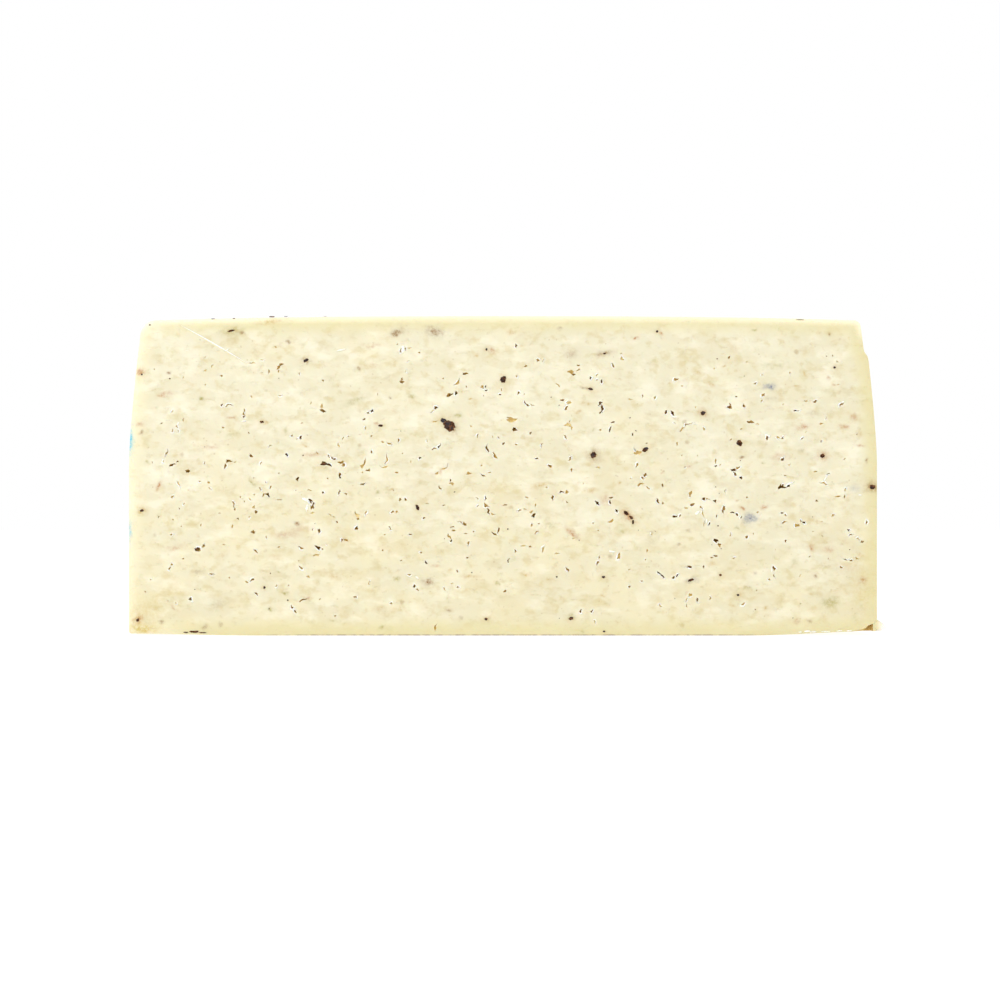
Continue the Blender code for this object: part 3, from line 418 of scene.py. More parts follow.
BROWN, TAN, OLIVE, GREY, BLUE, ROSE, INKED, MUSTARD = range(8)
PATCHES = (
    (862, 580, 6, 5, 0, .5, ROSE), (848, 567, 18, 12, 0, .10, ROSE), (129.5, 440, 6, 26, 0, .95, INKED),
    (129.5, 531, 5, 22, 0, .4, INKED), (232, 332, 22, 8, 10, .35, OLIVE), (242, 333, 7, 3, -15, .6, BROWN),
    (397, 333, 9, 5, 25, .75, BROWN), (434, 331.5, 13, 5.5, -15, .8, BROWN),
    (398, 331, 18, 10, 20, .3, GREY), (435, 333, 20, 11, -10, .3, GREY), (165, 395, 13, 4, 12, .5, ROSE),
    (202, 398.5, 5, 3.4, 0, .6, OLIVE), (205.5, 370.5, 5, 3, 30, .4, OLIVE),
    (168.5, 372.5, 3.4, 2.6, 0, .8, BROWN), (289, 342, 4, 3, 0, .5, BROWN),
    (234, 434, 11, 3.4, 12, .5, OLIVE), (231.5, 417.5, 6, 3, 0, .55, ROSE),
    (285.5, 430.5, 4.4, 3.4, 80, .45, OLIVE), (211, 447, 13, 2.6, 0, .4, ROSE),
    (306, 446, 6, 3, -35, .5, TAN), (313, 454, 16, 4, 5, .45, ROSE), (147.5, 462, 5, 4, 0, .4, OLIVE),
    (142, 433, 5, 3.6, 10, .5, BROWN), (141, 372, 8, 7, 0, .6, ROSE), (140, 424, 7, 4, 0, .5, ROSE),
    (271, 322, 26, 5, 10, .4, TAN), (267, 422, 5, 2.4, 0, .6, TAN), (306.5, 361, 9, 6, 10, .35, BROWN),
    (159, 486, 9, 4, 55, .65, ROSE), (252, 482, 9, 3.4, -55, .5, OLIVE), (297, 523.5, 5, 4, 0, .55, BROWN),
    (300, 529, 16, 4, 3, .35, ROSE), (285, 535, 24, 4.4, 0, .3, ROSE), (175, 548, 14, 4, 12, .5, ROSE),
    (222, 555.5, 10, 4, 18, .35, TAN), (275, 557, 10, 4, -5, .35, TAN), (198, 572, 12, 4, -3, .45, GREY),
    (279, 572.5, 5, 2.4, -20, .5, OLIVE), (284.5, 593, 5.4, 3.4, 0, .6, OLIVE),
    (219, 603, 18, 10, 0, .25, GREY), (307.5, 597.5, 5, 2.8, -10, .9, ROSE),
    (271, 610, 5, 4.6, 0, .45, OLIVE), (162, 622.5, 3.6, 3.2, 0, .6, BROWN),
    (204.5, 627, 5, 4.6, 0, .65, BROWN), (221.5, 624, 3.6, 3.4, 0, .5, BROWN),
    (174, 608, 7, 3, -45, .35, ROSE), (143, 629, 26, 9, 0, .6, MUSTARD),
    (150, 610, 60, 34, 20, .22, MUSTARD), (860, 590, 26, 80, 0, .2, MUSTARD),
    (358, 368.5, 4, 3.2, 80, .6, BROWN), (370, 366, 16, 3, 0, .35, TAN), (372, 345.5, 16, 3, 0, .4, ROSE),
    (441, 387, 5.4, 2.6, -45, .5, TAN), (390, 397.5, 3.8, 3, 0, .65, BROWN),
    (412, 396, 7, 3.4, 0, .5, OLIVE), (470, 398.5, 4.4, 1.8, 0, .6, TAN),
    (355, 401, 24, 4.4, 22, .35, OLIVE), (457.5, 415.5, 7, 3.6, 15, .55, OLIVE),
    (455, 429, 6, 9, 0, .5, BROWN), (376, 423.5, 5, 2, -10, .5, ROSE), (491.5, 351, 6, 4, -20, .6, ROSE),
    (476, 355, 6, 2.4, 45, .4, TAN), (440, 471, 14, 3.4, 32, .45, ROSE),
    (378, 492.5, 4.6, 3, 10, .5, OLIVE), (391.5, 490, 8, 3, 0, .5, TAN), (346, 540, 11, 5, -10, .35, TAN),
    (470, 576.5, 20, 3.6, -2, .5, TAN), (427.5, 582, 12, 7, 0, .4, BROWN),
    (427.2, 581.8, 5, 3.4, 0, .7, BROWN), (398, 579, 4.6, 3.4, 20, .5, OLIVE),
    (498.5, 583.5, 4.4, 3.2, 0, .5, OLIVE), (448.5, 610.5, 4.4, 3.4, 0, .6, BROWN),
    (380, 608, 12, 5, 5, .4, TAN), (332.5, 620.5, 5, 2.6, 0, .55, OLIVE), (382, 627, 7, 2.8, 40, .5, OLIVE),
    (333, 576, 20, 5, -15, .35, TAN), (356.5, 597, 8, 4, 60, .3, GREY), (436, 566, 12, 2, 0, .35, ROSE),
    (512, 332, 8, 4.4, 0, .4, TAN), (560, 328.5, 4, 2.4, 0, .6, GREY), (636, 338.5, 4.6, 1.6, 0, .7, ROSE),
    (660.5, 333.5, 4, 3, -30, .6, ROSE), (572, 354, 13, 7, 20, .3, BROWN),
    (604, 353.5, 18, 4.4, 12, .5, BROWN), (586, 403.5, 11, 3.2, 0, .5, TAN),
    (578.5, 412, 5, 2.8, 0, .6, TAN), (584.5, 387.8, 9, 2.6, -12, .55, BROWN),
    (594, 430, 4, 3, 0, .4, OLIVE), (676, 419, 5, 2.6, -20, .5, TAN), (663, 472.5, 4, 1.8, 0, .5, ROSE),
    (689, 467, 5, 2.8, 0, .45, ROSE), (594, 455, 13, 12, 0, .35, BROWN), (540, 485.5, 16, 4.4, 12, .5, TAN),
    (572, 533, 15, 3.8, -42, .7, ROSE), (550, 525, 9, 6, -40, .3, OLIVE), (590, 490, 11, 3, 5, .5, TAN),
    (620, 482, 4.6, 3.4, 0, .6, TAN), (605, 500, 12, 9, 0, .35, ROSE), (622, 531.5, 5, 3.6, 0, .5, OLIVE),
    (651, 534, 4.6, 3.6, 0, .6, GREY), (629, 516, 14, 6.5, -40, .7, ROSE),
    (688, 531, 4.4, 3.2, 0, .5, GREY), (678.5, 545, 4.4, 3.2, 0, .5, GREY),
    (651, 541, 14, 10, 50, .22, GREY), (603, 595.5, 5, 2.4, 0, .5, TAN), (583, 631.5, 4, 3, 80, .4, OLIVE),
    (525, 574.5, 9, 2.6, -22, .5, TAN), (550, 580, 12, 3.6, 0, .4, TAN), (616, 621, 4, 3, 0, .35, TAN),
    (754.5, 330, 4, 2.6, 10, .6, OLIVE), (829, 333, 3.6, 3, 0, .6, BROWN), (819, 332, 6, 4, 0, .4, TAN),
    (734, 349, 9, 9, 0, .2, TAN), (724, 366.5, 6, 3, 30, .5, TAN), (807, 350, 12, 9, 0, .2, TAN),
    (698, 373, 5, 4.4, 0, .4, TAN), (712, 384.5, 6, 4.4, -20, .4, TAN), (775, 366, 26, 3, -3, .3, OLIVE),
    (804.5, 374, 5.6, 3.2, -62, .5, TAN), (828.5, 378, 4, 3, 0, .5, ROSE),
    (834, 385, 3.6, 2.4, 0, .45, ROSE), (769.5, 386.5, 9, 5.5, 0, .95, BLUE),
    (796, 386.5, 6, 2.8, 0, .6, TAN), (770, 398, 16, 3, 0, .3, GREY), (853.5, 416, 5, 5, 0, .7, ROSE),
    (844, 426.5, 8, 4, 0, .55, ROSE), (803, 427, 12, 3.6, 10, .6, ROSE), (859, 433.5, 7, 5, -30, .45, TAN),
    (860, 446, 9, 2.6, -5, .5, ROSE), (742, 457, 4.4, 2.4, 0, .5, BROWN), (779, 457, 13, 7, 0, .35, ROSE),
    (763, 462.5, 4, 2.4, 0, .55, OLIVE), (866, 460.5, 5.4, 3.8, 70, .6, BROWN),
    (812, 413, 12, 4, 0, .3, GREY), (802, 450, 5, 4, 0, .4, GREY), (822.5, 456, 10, 8, 0, .45, ROSE),
    (703, 413, 9, 8, 0, .3, ROSE), (737, 500.5, 3.6, 2, 0, .5, ROSE), (742.5, 508, 4.8, 3.8, 0, .7, ROSE),
    (764, 507.5, 5.4, 4.4, 0, .75, ROSE), (750, 518, 13, 9, 10, .6, BLUE),
    (737, 528.5, 5, 2.6, 0, .5, OLIVE), (815, 521, 20, 3.8, -18, .4, TAN),
    (811, 548, 4.6, 6.4, 0, .7, ROSE), (843, 542, 13, 3, -10, .35, TAN), (826, 542, 7, 2, 0, .4, TAN),
    (828, 550, 14, 3.6, 0, .35, ROSE), (861, 555, 4, 5, 0, .35, TAN), (815, 576.5, 3, 2.4, 0, .6, BROWN),
    (747, 588, 7, 4, 0, .4, OLIVE), (754.5, 573, 4.2, 3.2, 0, .45, BROWN), (795, 562, 6, 9, 0, .22, OLIVE),
    (712, 564, 8, 4, 10, .35, TAN), (732, 605.5, 6, 2.6, -15, .45, TAN), (766, 608, 5, 3.6, 0, .45, TAN),
    (811, 594, 4, 3, -40, .45, TAN), (797, 621, 5, 5, 0, .35, ROSE), (810, 621, 3.6, 3.6, 0, .4, BROWN),
    (830, 602, 17, 10, 15, .5, OLIVE), (872, 487, 12, 10, 0, .45, BROWN), (855, 489, 10, 6, 0, .25, BLUE),
    (142, 510, 10, 8, -30, .4, TAN), (139, 619, 9, 7, 30, .7, ROSE), (486, 619, 8, 6, 0, .45, TAN),
    (571, 616.5, 8, 5, 0, .35, OLIVE), (693, 580, 12, 5, 10, .3, BLUE),
)
FLAKES = (
    (403, 349, 8, 3.2, 85), (341, 350, 10, 1.8, 12), (306, 500, 9, 3.2, -30), (307, 508, 7, 2.6, 80),
    (227, 350, 4, 1.6, 40), (612, 551.5, 7, 2, -10), (791, 483, 7, 1.8, 30), (771.5, 570, 6, 1.6, -75),
    (842.5, 402, 4.6, 1.5, 25), (697, 513, 6, 3, 40), (825, 478.5, 5, 1.6, 60), (706.5, 521, 5, 1.6, 85),
    (865, 521.5, 5, 1.2, 86), (178, 424, 5, 1.6, 70), (417, 577.5, 5, 1.8, -30), (807, 631.2, 6, 2.2, 4),
    (813, 631.8, 9, 1.4, 2), (826, 631.4, 10, 1.2, 2), (839, 630.8, 7, 1.3, 3), (800, 632, 5, 1.3, 0),
    (849, 630.6, 6, 1.2, 4), (244, 421, 5, 1.6, 10), (769, 436, 4, 1.5, 60), (192.5, 601.5, 3.4, 1.6, 20),
    (860, 495, 4, 1.4, 0),
)
print(len(OPENINGS), "openings,", len(TRUFFLES), "truffle pieces,", len(PATCHES), "soft patches")

# %% [markdown]
# Between the placed openings there are pinholes too small to read one by one. They are drawn with a
# fixed seed, more of them at mid height, because the paste near the top and the foot knits more closely.
# The same draw gives small specks of truffle dust.

# %% Pinholes and truffle dust, drawn at random
PINHOLES, PINHOLE_GAP = 110, 1.8 * MM
DUST, DUST_GAP = 36, 1.2 * MM
RIM_CLEARANCE = 5.0 * MM
scatter = random.Random(7)


def inside_face(x, z, clearance):
    """Whether a place on the face is at least this far from the rind."""
    if not clearance < z < HEIGHT - TOP_CROWN - clearance:
        return False
    return abs(x) < side_radius(0.0 if x > 0 else math.pi, z) - clearance


def free_places(count, taken, gap):
    """Random places on the face, none within gap of a taken one."""
    found = []
    while len(found) < count:
        x = scatter.uniform(-RADIUS, RADIUS)
        z = HEIGHT * scatter.betavariate(1.8, 1.8)
        if not inside_face(x, z, RIM_CLEARANCE):
            continue
        if all(math.hypot(x - other[0], z - other[1]) > gap for other in taken + found):
            found.append((x, z))
    return found


holes = []
for across, down, length, width, tilt, dark, lip in OPENINGS:
    x, z = on_face(across, down)
    holes.append((x, z, length * PIXEL, width * PIXEL, math.radians(tilt), dark, lip))
shavings = [(*on_face(row[0], row[1]), row[2] * PIXEL, row[3] * PIXEL, math.radians(row[4]))
            for row in TRUFFLES]
taken = [(row[0], row[1]) for row in holes + shavings]
for x, z in free_places(PINHOLES, taken, PINHOLE_GAP):
    length = scatter.uniform(0.45, 0.95) * MM
    width = length * scatter.uniform(0.4, 0.8)
    tilt, dark, lip = scatter.gauss(0.4, 0.9), scatter.uniform(0.2, 0.9), scatter.random() * 0.6
    holes.append((x, z, length, width, tilt, dark, lip))
for x, z in free_places(DUST, [(row[0], row[1]) for row in holes + shavings], DUST_GAP):
    size = scatter.uniform(0.3, 0.6) * MM
    shavings.append((x, z, size, size * scatter.uniform(0.5, 0.9), scatter.uniform(0, math.pi)))
print(len(holes), "openings in all,", len(shavings), "truffle pieces in all")

# %% [markdown]
# ## The surface of the cut
#
# A blade leaves cheese nearly flat, but not quite: curds give under it by different amounts, and the
# edge rolls back a fraction of a millimetre all round. `relief` gives the depth of the surface behind
# the cut plane. Keeping it a function means that every piece laid on the face can ask for the depth.

# %% Relief of the face and distance from its rim
EDGE_ROLL = 0.3 * MM
EDGE_WIDTH = 1.3 * MM
SLOW_RELIEF, SLOW_LENGTH = 0.11 * MM, 21.0 * MM
CURD_RELIEF, CURD_LONG, CURD_HIGH = 0.10 * MM, 7.0 * MM, 3.4 * MM

outline = [(r, z) for r, z in rib(0.0)] + [(0.0, HEIGHT)] + [(-r, z) for r, z in rib(math.pi)[::-1]]
outline = [(0.0, 0.0)] + outline
rim_tree = KDTree(len(outline) * 4)
for place, (start, end) in enumerate(zip(outline, outline[1:] + outline[:1])):
    for part in range(4):
        share = part / 4
        point = (start[0] + (end[0] - start[0]) * share, 0.0, start[1] + (end[1] - start[1]) * share)
        rim_tree.insert(point, place * 4 + part)
rim_tree.balance()


def from_rim(x, z):
    """Distance of a place on the face from its outline, in metres."""
    return rim_tree.find((x, 0.0, z))[2]


def relief(x, z):
    """Depth of the cut surface behind the cut plane, in metres."""
    rim = from_rim(x, z)
    settle = float(ease(rim, 0.0, 4 * EDGE_WIDTH))
    slow = noise.noise(Vector((x, 3.1, z)) / SLOW_LENGTH)
    curd = noise.noise(Vector((x / CURD_LONG, 9.7, z / CURD_HIGH)))
    roll = EDGE_ROLL * max(0.0, 1 - rim / EDGE_WIDTH) ** 2
    return roll + settle * (SLOW_RELIEF * slow + CURD_RELIEF * curd)


# %% [markdown]
# ## Building the body
#
# The rind is a grid of ribs through half a turn. The face is filled with triangles by a constrained
# Delaunay triangulation: points about a millimetre apart everywhere, and three times closer round each
# feature, so that stains and torn lips come out sharp without a heavy mesh.

# %% The skin of the half wheel and the filled cut face
FACE_SPACING = 0.95 * MM
FINE_SPACING = 0.34 * MM
FINE_MARGIN = 0.55 * MM
ROW_SHARE = 0.87
JITTER = 0.2 * MM
SMALL_PATCH = 10


def skin_mesh():
    """Ribs side by side from the cut's right end round to its left end, and the points along the cut."""
    mesh = bmesh.new()
    low = mesh.verts.new(in_frame(0.0, EDGE_ROLL, 0.0))
    high = mesh.verts.new(in_frame(0.0, EDGE_ROLL, HEIGHT))
    ribs = []
    for turn in range(TURN_STEPS + 1):
        angle = math.pi * turn / TURN_STEPS
        across, along = math.cos(angle), math.sin(angle)
        ring = [in_frame(r * across, max(r * along, EDGE_ROLL), z) for r, z in rib(angle)]
        ribs.append([mesh.verts.new(point) for point in ring])
    for first, second in zip(ribs, ribs[1:]):
        mesh.faces.new((low, second[0], first[0]))
        mesh.faces.new((high, first[-1], second[-1]))
        for place in range(len(first) - 1):
            mesh.faces.new((first[place], second[place], second[place + 1], first[place + 1]))
    for face in mesh.faces:
        face.material_index = 1
    return mesh, [low] + ribs[0] + [high] + ribs[-1][::-1]


def face_points():
    """Places over the cut face, close together round the features and wider elsewhere."""
    draw = random.Random(3)
    points = []
    rows = int(HEIGHT / (FACE_SPACING * ROW_SHARE))
    for row in range(rows + 1):
        z = row * HEIGHT / rows
        for step in range(int(-RADIUS / FACE_SPACING), int(RADIUS / FACE_SPACING) + 1):
            x = (step + 0.5 * (row % 2)) * FACE_SPACING
            points.append((x + draw.uniform(-JITTER, JITTER), z + draw.uniform(-JITTER, JITTER)))
    features = [row[:4] for row in holes + shavings]
    small_patches = [row for row in PATCHES if row[2] < SMALL_PATCH]
    features += [(*on_face(row[0], row[1]), row[2] * PIXEL, row[3] * PIXEL) for row in small_patches]
    for x, z, length, width in features:
        reach = max(length, width) / 2 + FINE_MARGIN
        steps = int(reach / FINE_SPACING) + 1
        for row in range(-steps, steps + 1):
            for step in range(-steps, steps + 1):
                dx = (step + 0.5 * (row % 2)) * FINE_SPACING
                dz = row * FINE_SPACING * ROW_SHARE
                if math.hypot(dx, dz) <= reach:
                    points.append((x + dx, z + dz))
    return thin_out(points)


def thin_out(points):
    """One point for each small cell of the face, and none outside it or on its rim."""
    kept, seen = [], set()
    cell = FINE_SPACING * 0.75
    for x, z in reversed(points):
        key = (round(x / cell), round(z / cell))
        if key in seen or abs(x) > RADIUS or not inside_face(x, z, 0.0):
            continue
        if from_rim(x, z) > 0.3 * MM:
            seen.add(key)
            kept.append((x, z))
    return kept


def fill_face(mesh, border):
    """Triangles over the whole cut face, joined to the skin's own points along the outline."""
    count = len(outline)
    points = [Vector(point) for point in outline + face_points()]
    edges = [(place, (place + 1) % count) for place in range(count)]
    flat, _, faces, sources, *_ = delaunay_2d_cdt(points, edges, [], 1, 1e-7)
    made = []
    for point, source in zip(flat, sources):
        if source and source[0] < count:
            made.append(border[source[0]])
        else:
            made.append(mesh.verts.new(in_frame(point.x, relief(point.x, point.y), point.y)))
    for corners in faces:
        mesh.faces.new([made[corner] for corner in corners]).material_index = 0


def object_from(mesh, name, materials):
    data = bpy.data.meshes.new(name)
    mesh.to_mesh(data)
    mesh.free()
    for material in materials:
        data.materials.append(material)
    obj = bpy.data.objects.new(name, data)
    bpy.context.scene.collection.objects.link(obj)
    return obj


paste = bpy.data.materials.new("cheese_paste")
rind = bpy.data.materials.new("cheese_rind")
wall = bpy.data.materials.new("opening_wall")
truffle = bpy.data.materials.new("truffle_flesh")
torn = bpy.data.materials.new("torn_paste")
body_mesh, cut_border = skin_mesh()
fill_face(body_mesh, cut_border)
bmesh.ops.recalc_face_normals(body_mesh, faces=body_mesh.faces)
open_edges = sum(1 for edge in body_mesh.edges if not edge.is_manifold)
print("body before the openings:", len(body_mesh.faces), "faces,", open_edges, "open edges")
body = object_from(body_mesh, "half_wheel", [paste, rind, wall])

# %% [markdown]
# ## Cutting the openings
#
# An opening is a little cave: ragged at the mouth, narrowing behind it and closing to an off-centre
# floor. Each is a closed cutter, and a Boolean takes them out of the body. Cutters in one mesh must not
# touch one another, so they are sorted into layers first, and the layers are subtracted together.

# %% Cutters for the openings
CORNERS = 14
OVERSHOOT = 1.2 * MM
CAVE = ((0.0, 1.0), (0.2, 0.96), (0.5, 0.84), (0.82, 0.6), (1.0, 0.3))
SHALLOWEST, DEPTH_TAN, DEPTH_DARK, DEEPEST = 0.18 * MM, 0.22, 0.60, 2.6 * MM
SPIKE_CHANCE, SPIKE = 0.24, 0.45
REACH_SHARE = 0.62


def ragged_outline(length, width, draw):
    """Corners of a torn-looking oval, as (along, across) from its middle."""
    points = []
    slender = min(1.0, max(0.0, length / width - 1.5) / 3)
    bend = draw.uniform(-0.1, 0.1) * (1 + 2.2 * slender)
    lobes = draw.uniform(0, 2 * math.pi)
    pinch = draw.uniform(0, 2 * math.pi)
    for corner in range(CORNERS):
        around = 2 * math.pi * (corner + draw.uniform(-0.3, 0.3)) / CORNERS
        reach = 0.97 + 0.15 * math.sin(3 * around + lobes) + draw.uniform(-0.34, 0.12)
        if draw.random() < SPIKE_CHANCE:
            reach += SPIKE
        along = length / 2 * reach * math.cos(around)
        share = 2 * along / length
        bowed = bend * length * (share**2 - 0.4) / 2
        bowed += 0.35 * slender * width * math.sin(4 * share + pinch)
        thick = 1 + slender * (0.15 + 0.5 * math.sin(3 * share - pinch))
        points.append((along, width / 2 * reach * thick * math.sin(around) + bowed))
    return points


def place_on_face(x, z, tilt, along, aside):
    """A place given along and across a tilted feature, as a place on the face."""
    turned_x = along * math.cos(tilt) - aside * math.sin(tilt)
    turned_z = along * math.sin(tilt) + aside * math.cos(tilt)
    return x + turned_x, z + turned_z


def cutter(mesh, hole, outline_points, draw):
    x, z, length, width, tilt, dark, _ = hole
    depth = SHALLOWEST + math.sqrt(length * width) * (DEPTH_TAN + DEPTH_DARK * dark**2)
    depth = min(DEEPEST, depth)
    drift = (draw.uniform(-0.35, 0.35) * width, draw.uniform(-0.45, 0.15) * width)
    rings = []
    for share, size in ((-OVERSHOOT / depth, 1.0),) + CAVE:
        inward = max(0.0, share)
        ring = []
        for along, aside in outline_points:
            rough = 1 + inward * draw.uniform(-0.16, 0.16)
            px, pz = place_on_face(x, z, tilt, size * rough * along + drift[0] * inward,
                                   size * rough * aside + drift[1] * inward)
            ring.append(mesh.verts.new(in_frame(px, relief(x, z) + share * depth, pz)))
        rings.append(ring)
    mesh.faces.new(rings[0])
    mesh.faces.new(rings[-1][::-1])
    for outer, inner in zip(rings, rings[1:]):
        for place in range(CORNERS):
            after = (place + 1) % CORNERS
            mesh.faces.new((outer[place], inner[place], inner[after], outer[after]))


def in_layers(rows, gap):
    """Rows sorted into layers in which no two rows come near each other."""
    layers = []
    for row in rows:
        reach = row[2] * REACH_SHARE + gap
        for layer in layers:
            if all(math.hypot(row[0] - other[0], row[1] - other[1]) > reach + other[2] * REACH_SHARE
                   for other in layer):
                layer.append(row)
                break
        else:
            layers.append([row])
    return layers


def take_out(obj, layers_of_meshes):
    """Subtracts the cutters for good, and removes them."""
    group = bpy.data.collections.new("cutters")
    bpy.context.scene.collection.children.link(group)
    for number, mesh in enumerate(layers_of_meshes):
        bmesh.ops.recalc_face_normals(mesh, faces=mesh.faces)
        for face in mesh.faces:
            face.material_index = 2
        tool = object_from(mesh, f"cutter_{number}", [paste, rind, wall])
        bpy.context.scene.collection.objects.unlink(tool)
        group.objects.link(tool)
    cut = obj.modifiers.new("openings", "BOOLEAN")
    cut.operation, cut.solver = "DIFFERENCE", "MANIFOLD"
    cut.operand_type, cut.collection = "COLLECTION", group
    bpy.context.view_layer.update()
    result = bpy.data.meshes.new_from_object(obj.evaluated_get(bpy.context.evaluated_depsgraph_get()))
    obj.modifiers.clear()
    obj.data = result
    for tool in list(group.objects):
        bpy.data.objects.remove(tool, do_unlink=True)
    bpy.data.collections.remove(group)


cave_draw = random.Random(21)
mouths = {hole: ragged_outline(hole[2], hole[3], cave_draw) for hole in holes}
cutter_meshes = []
for layer in in_layers(holes, 0.15 * MM):
    mesh = bmesh.new()
    for hole in layer:
        cutter(mesh, hole, mouths[hole], cave_draw)
    cutter_meshes.append(mesh)

# %% [markdown]
# Two more cuts go out with the openings. A shallow score crosses the upper left, where something
# scraped the face, and a wedge of paste broke out of the lower right corner, open at the foot.

# %% The score and the broken corner, then one subtraction for all
SCORE = ((180.5, 325.5), (246.5, 363.5))
SCORE_WIDTH, SCORE_DEPTH = 0.30 * MM, 0.08 * MM
WEDGE_POINT, WEDGE_MIDDLE = (111.8 * MM, 1.3 * MM), (116.2 * MM, 2.35 * MM)
WEDGE_TOP = (118.7 * MM, 3.8 * MM)
WEDGE_REACH, WEDGE_CLEAR = 5.0 * MM, 1.0 * MM
# How dark the broken corner's wall is painted: painted shade in the crease under the flap.
WEDGE_SHADE = 0.8


def prism(mesh, sections):
    """A closed solid through rings of points that all have the same count."""
    rings = [[mesh.verts.new(point) for point in ring] for ring in sections]
    mesh.faces.new(rings[0])
    mesh.faces.new(rings[-1][::-1])
    count = len(rings[0])
    for first, second in zip(rings, rings[1:]):
        for place in range(count):
            after = (place + 1) % count
            mesh.faces.new((first[place], second[place], second[after], first[after]))


def score_cutter():
    (x0, z0), (x1, z1) = on_face(*SCORE[0]), on_face(*SCORE[1])
    side = Vector((z1 - z0, 0, x0 - x1)).normalized()
    sections = []
    steps = 26
    for step in range(steps + 1):
        share = step / steps
        x, z = x0 + (x1 - x0) * share, z0 + (z1 - z0) * share
        strength = 0.25 + 0.75 * math.sin(math.pi * share) ** 0.5
        wobble = 0.12 * MM * noise.noise(Vector((step * 0.6, 0, 0)))
        half = SCORE_WIDTH / 2 * strength
        surface = relief(x, z)
        base = in_frame(x, surface, z) + side * wobble
        sections.append((
            base - side * half * 2 + Vector((0, -SCORE_DEPTH, 0)),
            base + side * half * 2 + Vector((0, -SCORE_DEPTH, 0)),
            base + Vector((0, SCORE_DEPTH * strength, 0)),
        ))
    mesh = bmesh.new()
    prism(mesh, sections)
    return mesh


def wedge_cutter():
    end_x = WEDGE_TOP[0]
    middle_x, middle_z = WEDGE_MIDDLE
    before = (middle_x - 1.2 * MM, middle_z - 0.35 * MM)
    after = (middle_x + 1.0 * MM, middle_z + 0.9 * MM)
    profile = (WEDGE_POINT, before, WEDGE_MIDDLE, after, WEDGE_TOP, (end_x, -WEDGE_CLEAR),
               (WEDGE_POINT[0], -WEDGE_CLEAR))
    sections = []
    for depth, pull in ((-WEDGE_CLEAR, 0.0), (0.0, 0.0), (0.4 * WEDGE_REACH, 0.15), (WEDGE_REACH, 0.6)):
        sections.append([in_frame(x + (end_x - x) * pull, depth, z) for x, z in profile])
    mesh = bmesh.new()
    prism(mesh, sections)
    return mesh


take_out(body, cutter_meshes + [score_cutter(), wedge_cutter()])
kinds = Counter(face.material_index for face in body.data.polygons)
assert kinds[2], "the openings were not cut"
print("faces by material:", dict(kinds), "points:", len(body.data.vertices))

# %% [markdown]
# ## Marking the mesh
#
# Colour that belongs to a place, such as a brown patch or the yellow rim, is written on the mesh's
# points and read by the material. Procedural textures then only have to add what is the same all over.

# %% Marks on the points: distance from the rim, soft patches, darkness of each opening and painted highlights
PATCH_TINTS = {
    BROWN: (0.26, 0.125, 0.035), TAN: (0.53, 0.36, 0.11), OLIVE: (0.38, 0.33, 0.09),
    GREY: (0.43, 0.35, 0.205), BLUE: (0.17, 0.19, 0.27), ROSE: (0.47, 0.23, 0.095),
    INKED: (0.10, 0.50, 0.66), MUSTARD: (0.61, 0.465, 0.12),
}
PATCH_POWER = 1.3
PATCH_STRAY, PATCH_GRAIN = 0.7 * MM, 1.5 * MM
# Blender's vector noise takes its offsets from the clock unless it is given a seed.
noise.seed_set(4)
HALO_GROWTH, HALO_MARGIN, HALO_POWER = 1.3, 3.0, 0.24


def patch_marks(points):
    """Tint and strength of the soft patches at each (x, z) point, as rows of red, green, blue, strength."""
    tint = np.ones((len(points), 3))
    strength = np.zeros(len(points))
    stray = [PATCH_STRAY * Vector(noise.noise_vector(Vector((x, 0.0, z)) / PATCH_GRAIN)) for x, z in points]
    points = points + np.array(stray)[:, [0, 2]]
    halos = []
    for across, down, length, width, tilt, *_ in TRUFFLES:
        long, wide = length * HALO_GROWTH + HALO_MARGIN, width * HALO_GROWTH + HALO_MARGIN
        halos.append((across, down, long, wide, tilt, HALO_POWER, TAN))
    for across, down, length, width, tilt, power, kind in PATCHES + tuple(halos):
        x, z = on_face(across, down)
        dx, dz = points[:, 0] - x, points[:, 1] - z
        turn = math.radians(tilt)
        along = (dx * math.cos(turn) + dz * math.sin(turn)) / (length * PIXEL / 2)
        aside = (dz * math.cos(turn) - dx * math.sin(turn)) / (width * PIXEL / 2)
        amount = min(0.97, PATCH_POWER * power) * np.exp(-(along**2 + aside**2))
        share = amount / np.maximum(amount + strength, 1e-6)
        tint += (np.array(PATCH_TINTS[kind]) - tint) * share[:, None]
        strength = 1 - (1 - strength) * (1 - amount)
    return np.column_stack([tint, strength])


BEHIND_FACE, FAR_FROM_RIM = 8 * MM, 30.0
# How far the paler paste round a torn mouth reaches: partly torn paste, partly painted highlight.
LIP_PALE_AND_HIGHLIGHT_REACH = 0.55 * MM


def write_attribute(mesh, name, kind, values):
    attribute = mesh.attributes.new(name, kind, "POINT")
    field = "color" if kind == "FLOAT_COLOR" else "value"
    attribute.data.foreach_set(field, np.asarray(values, dtype=np.float32).ravel())


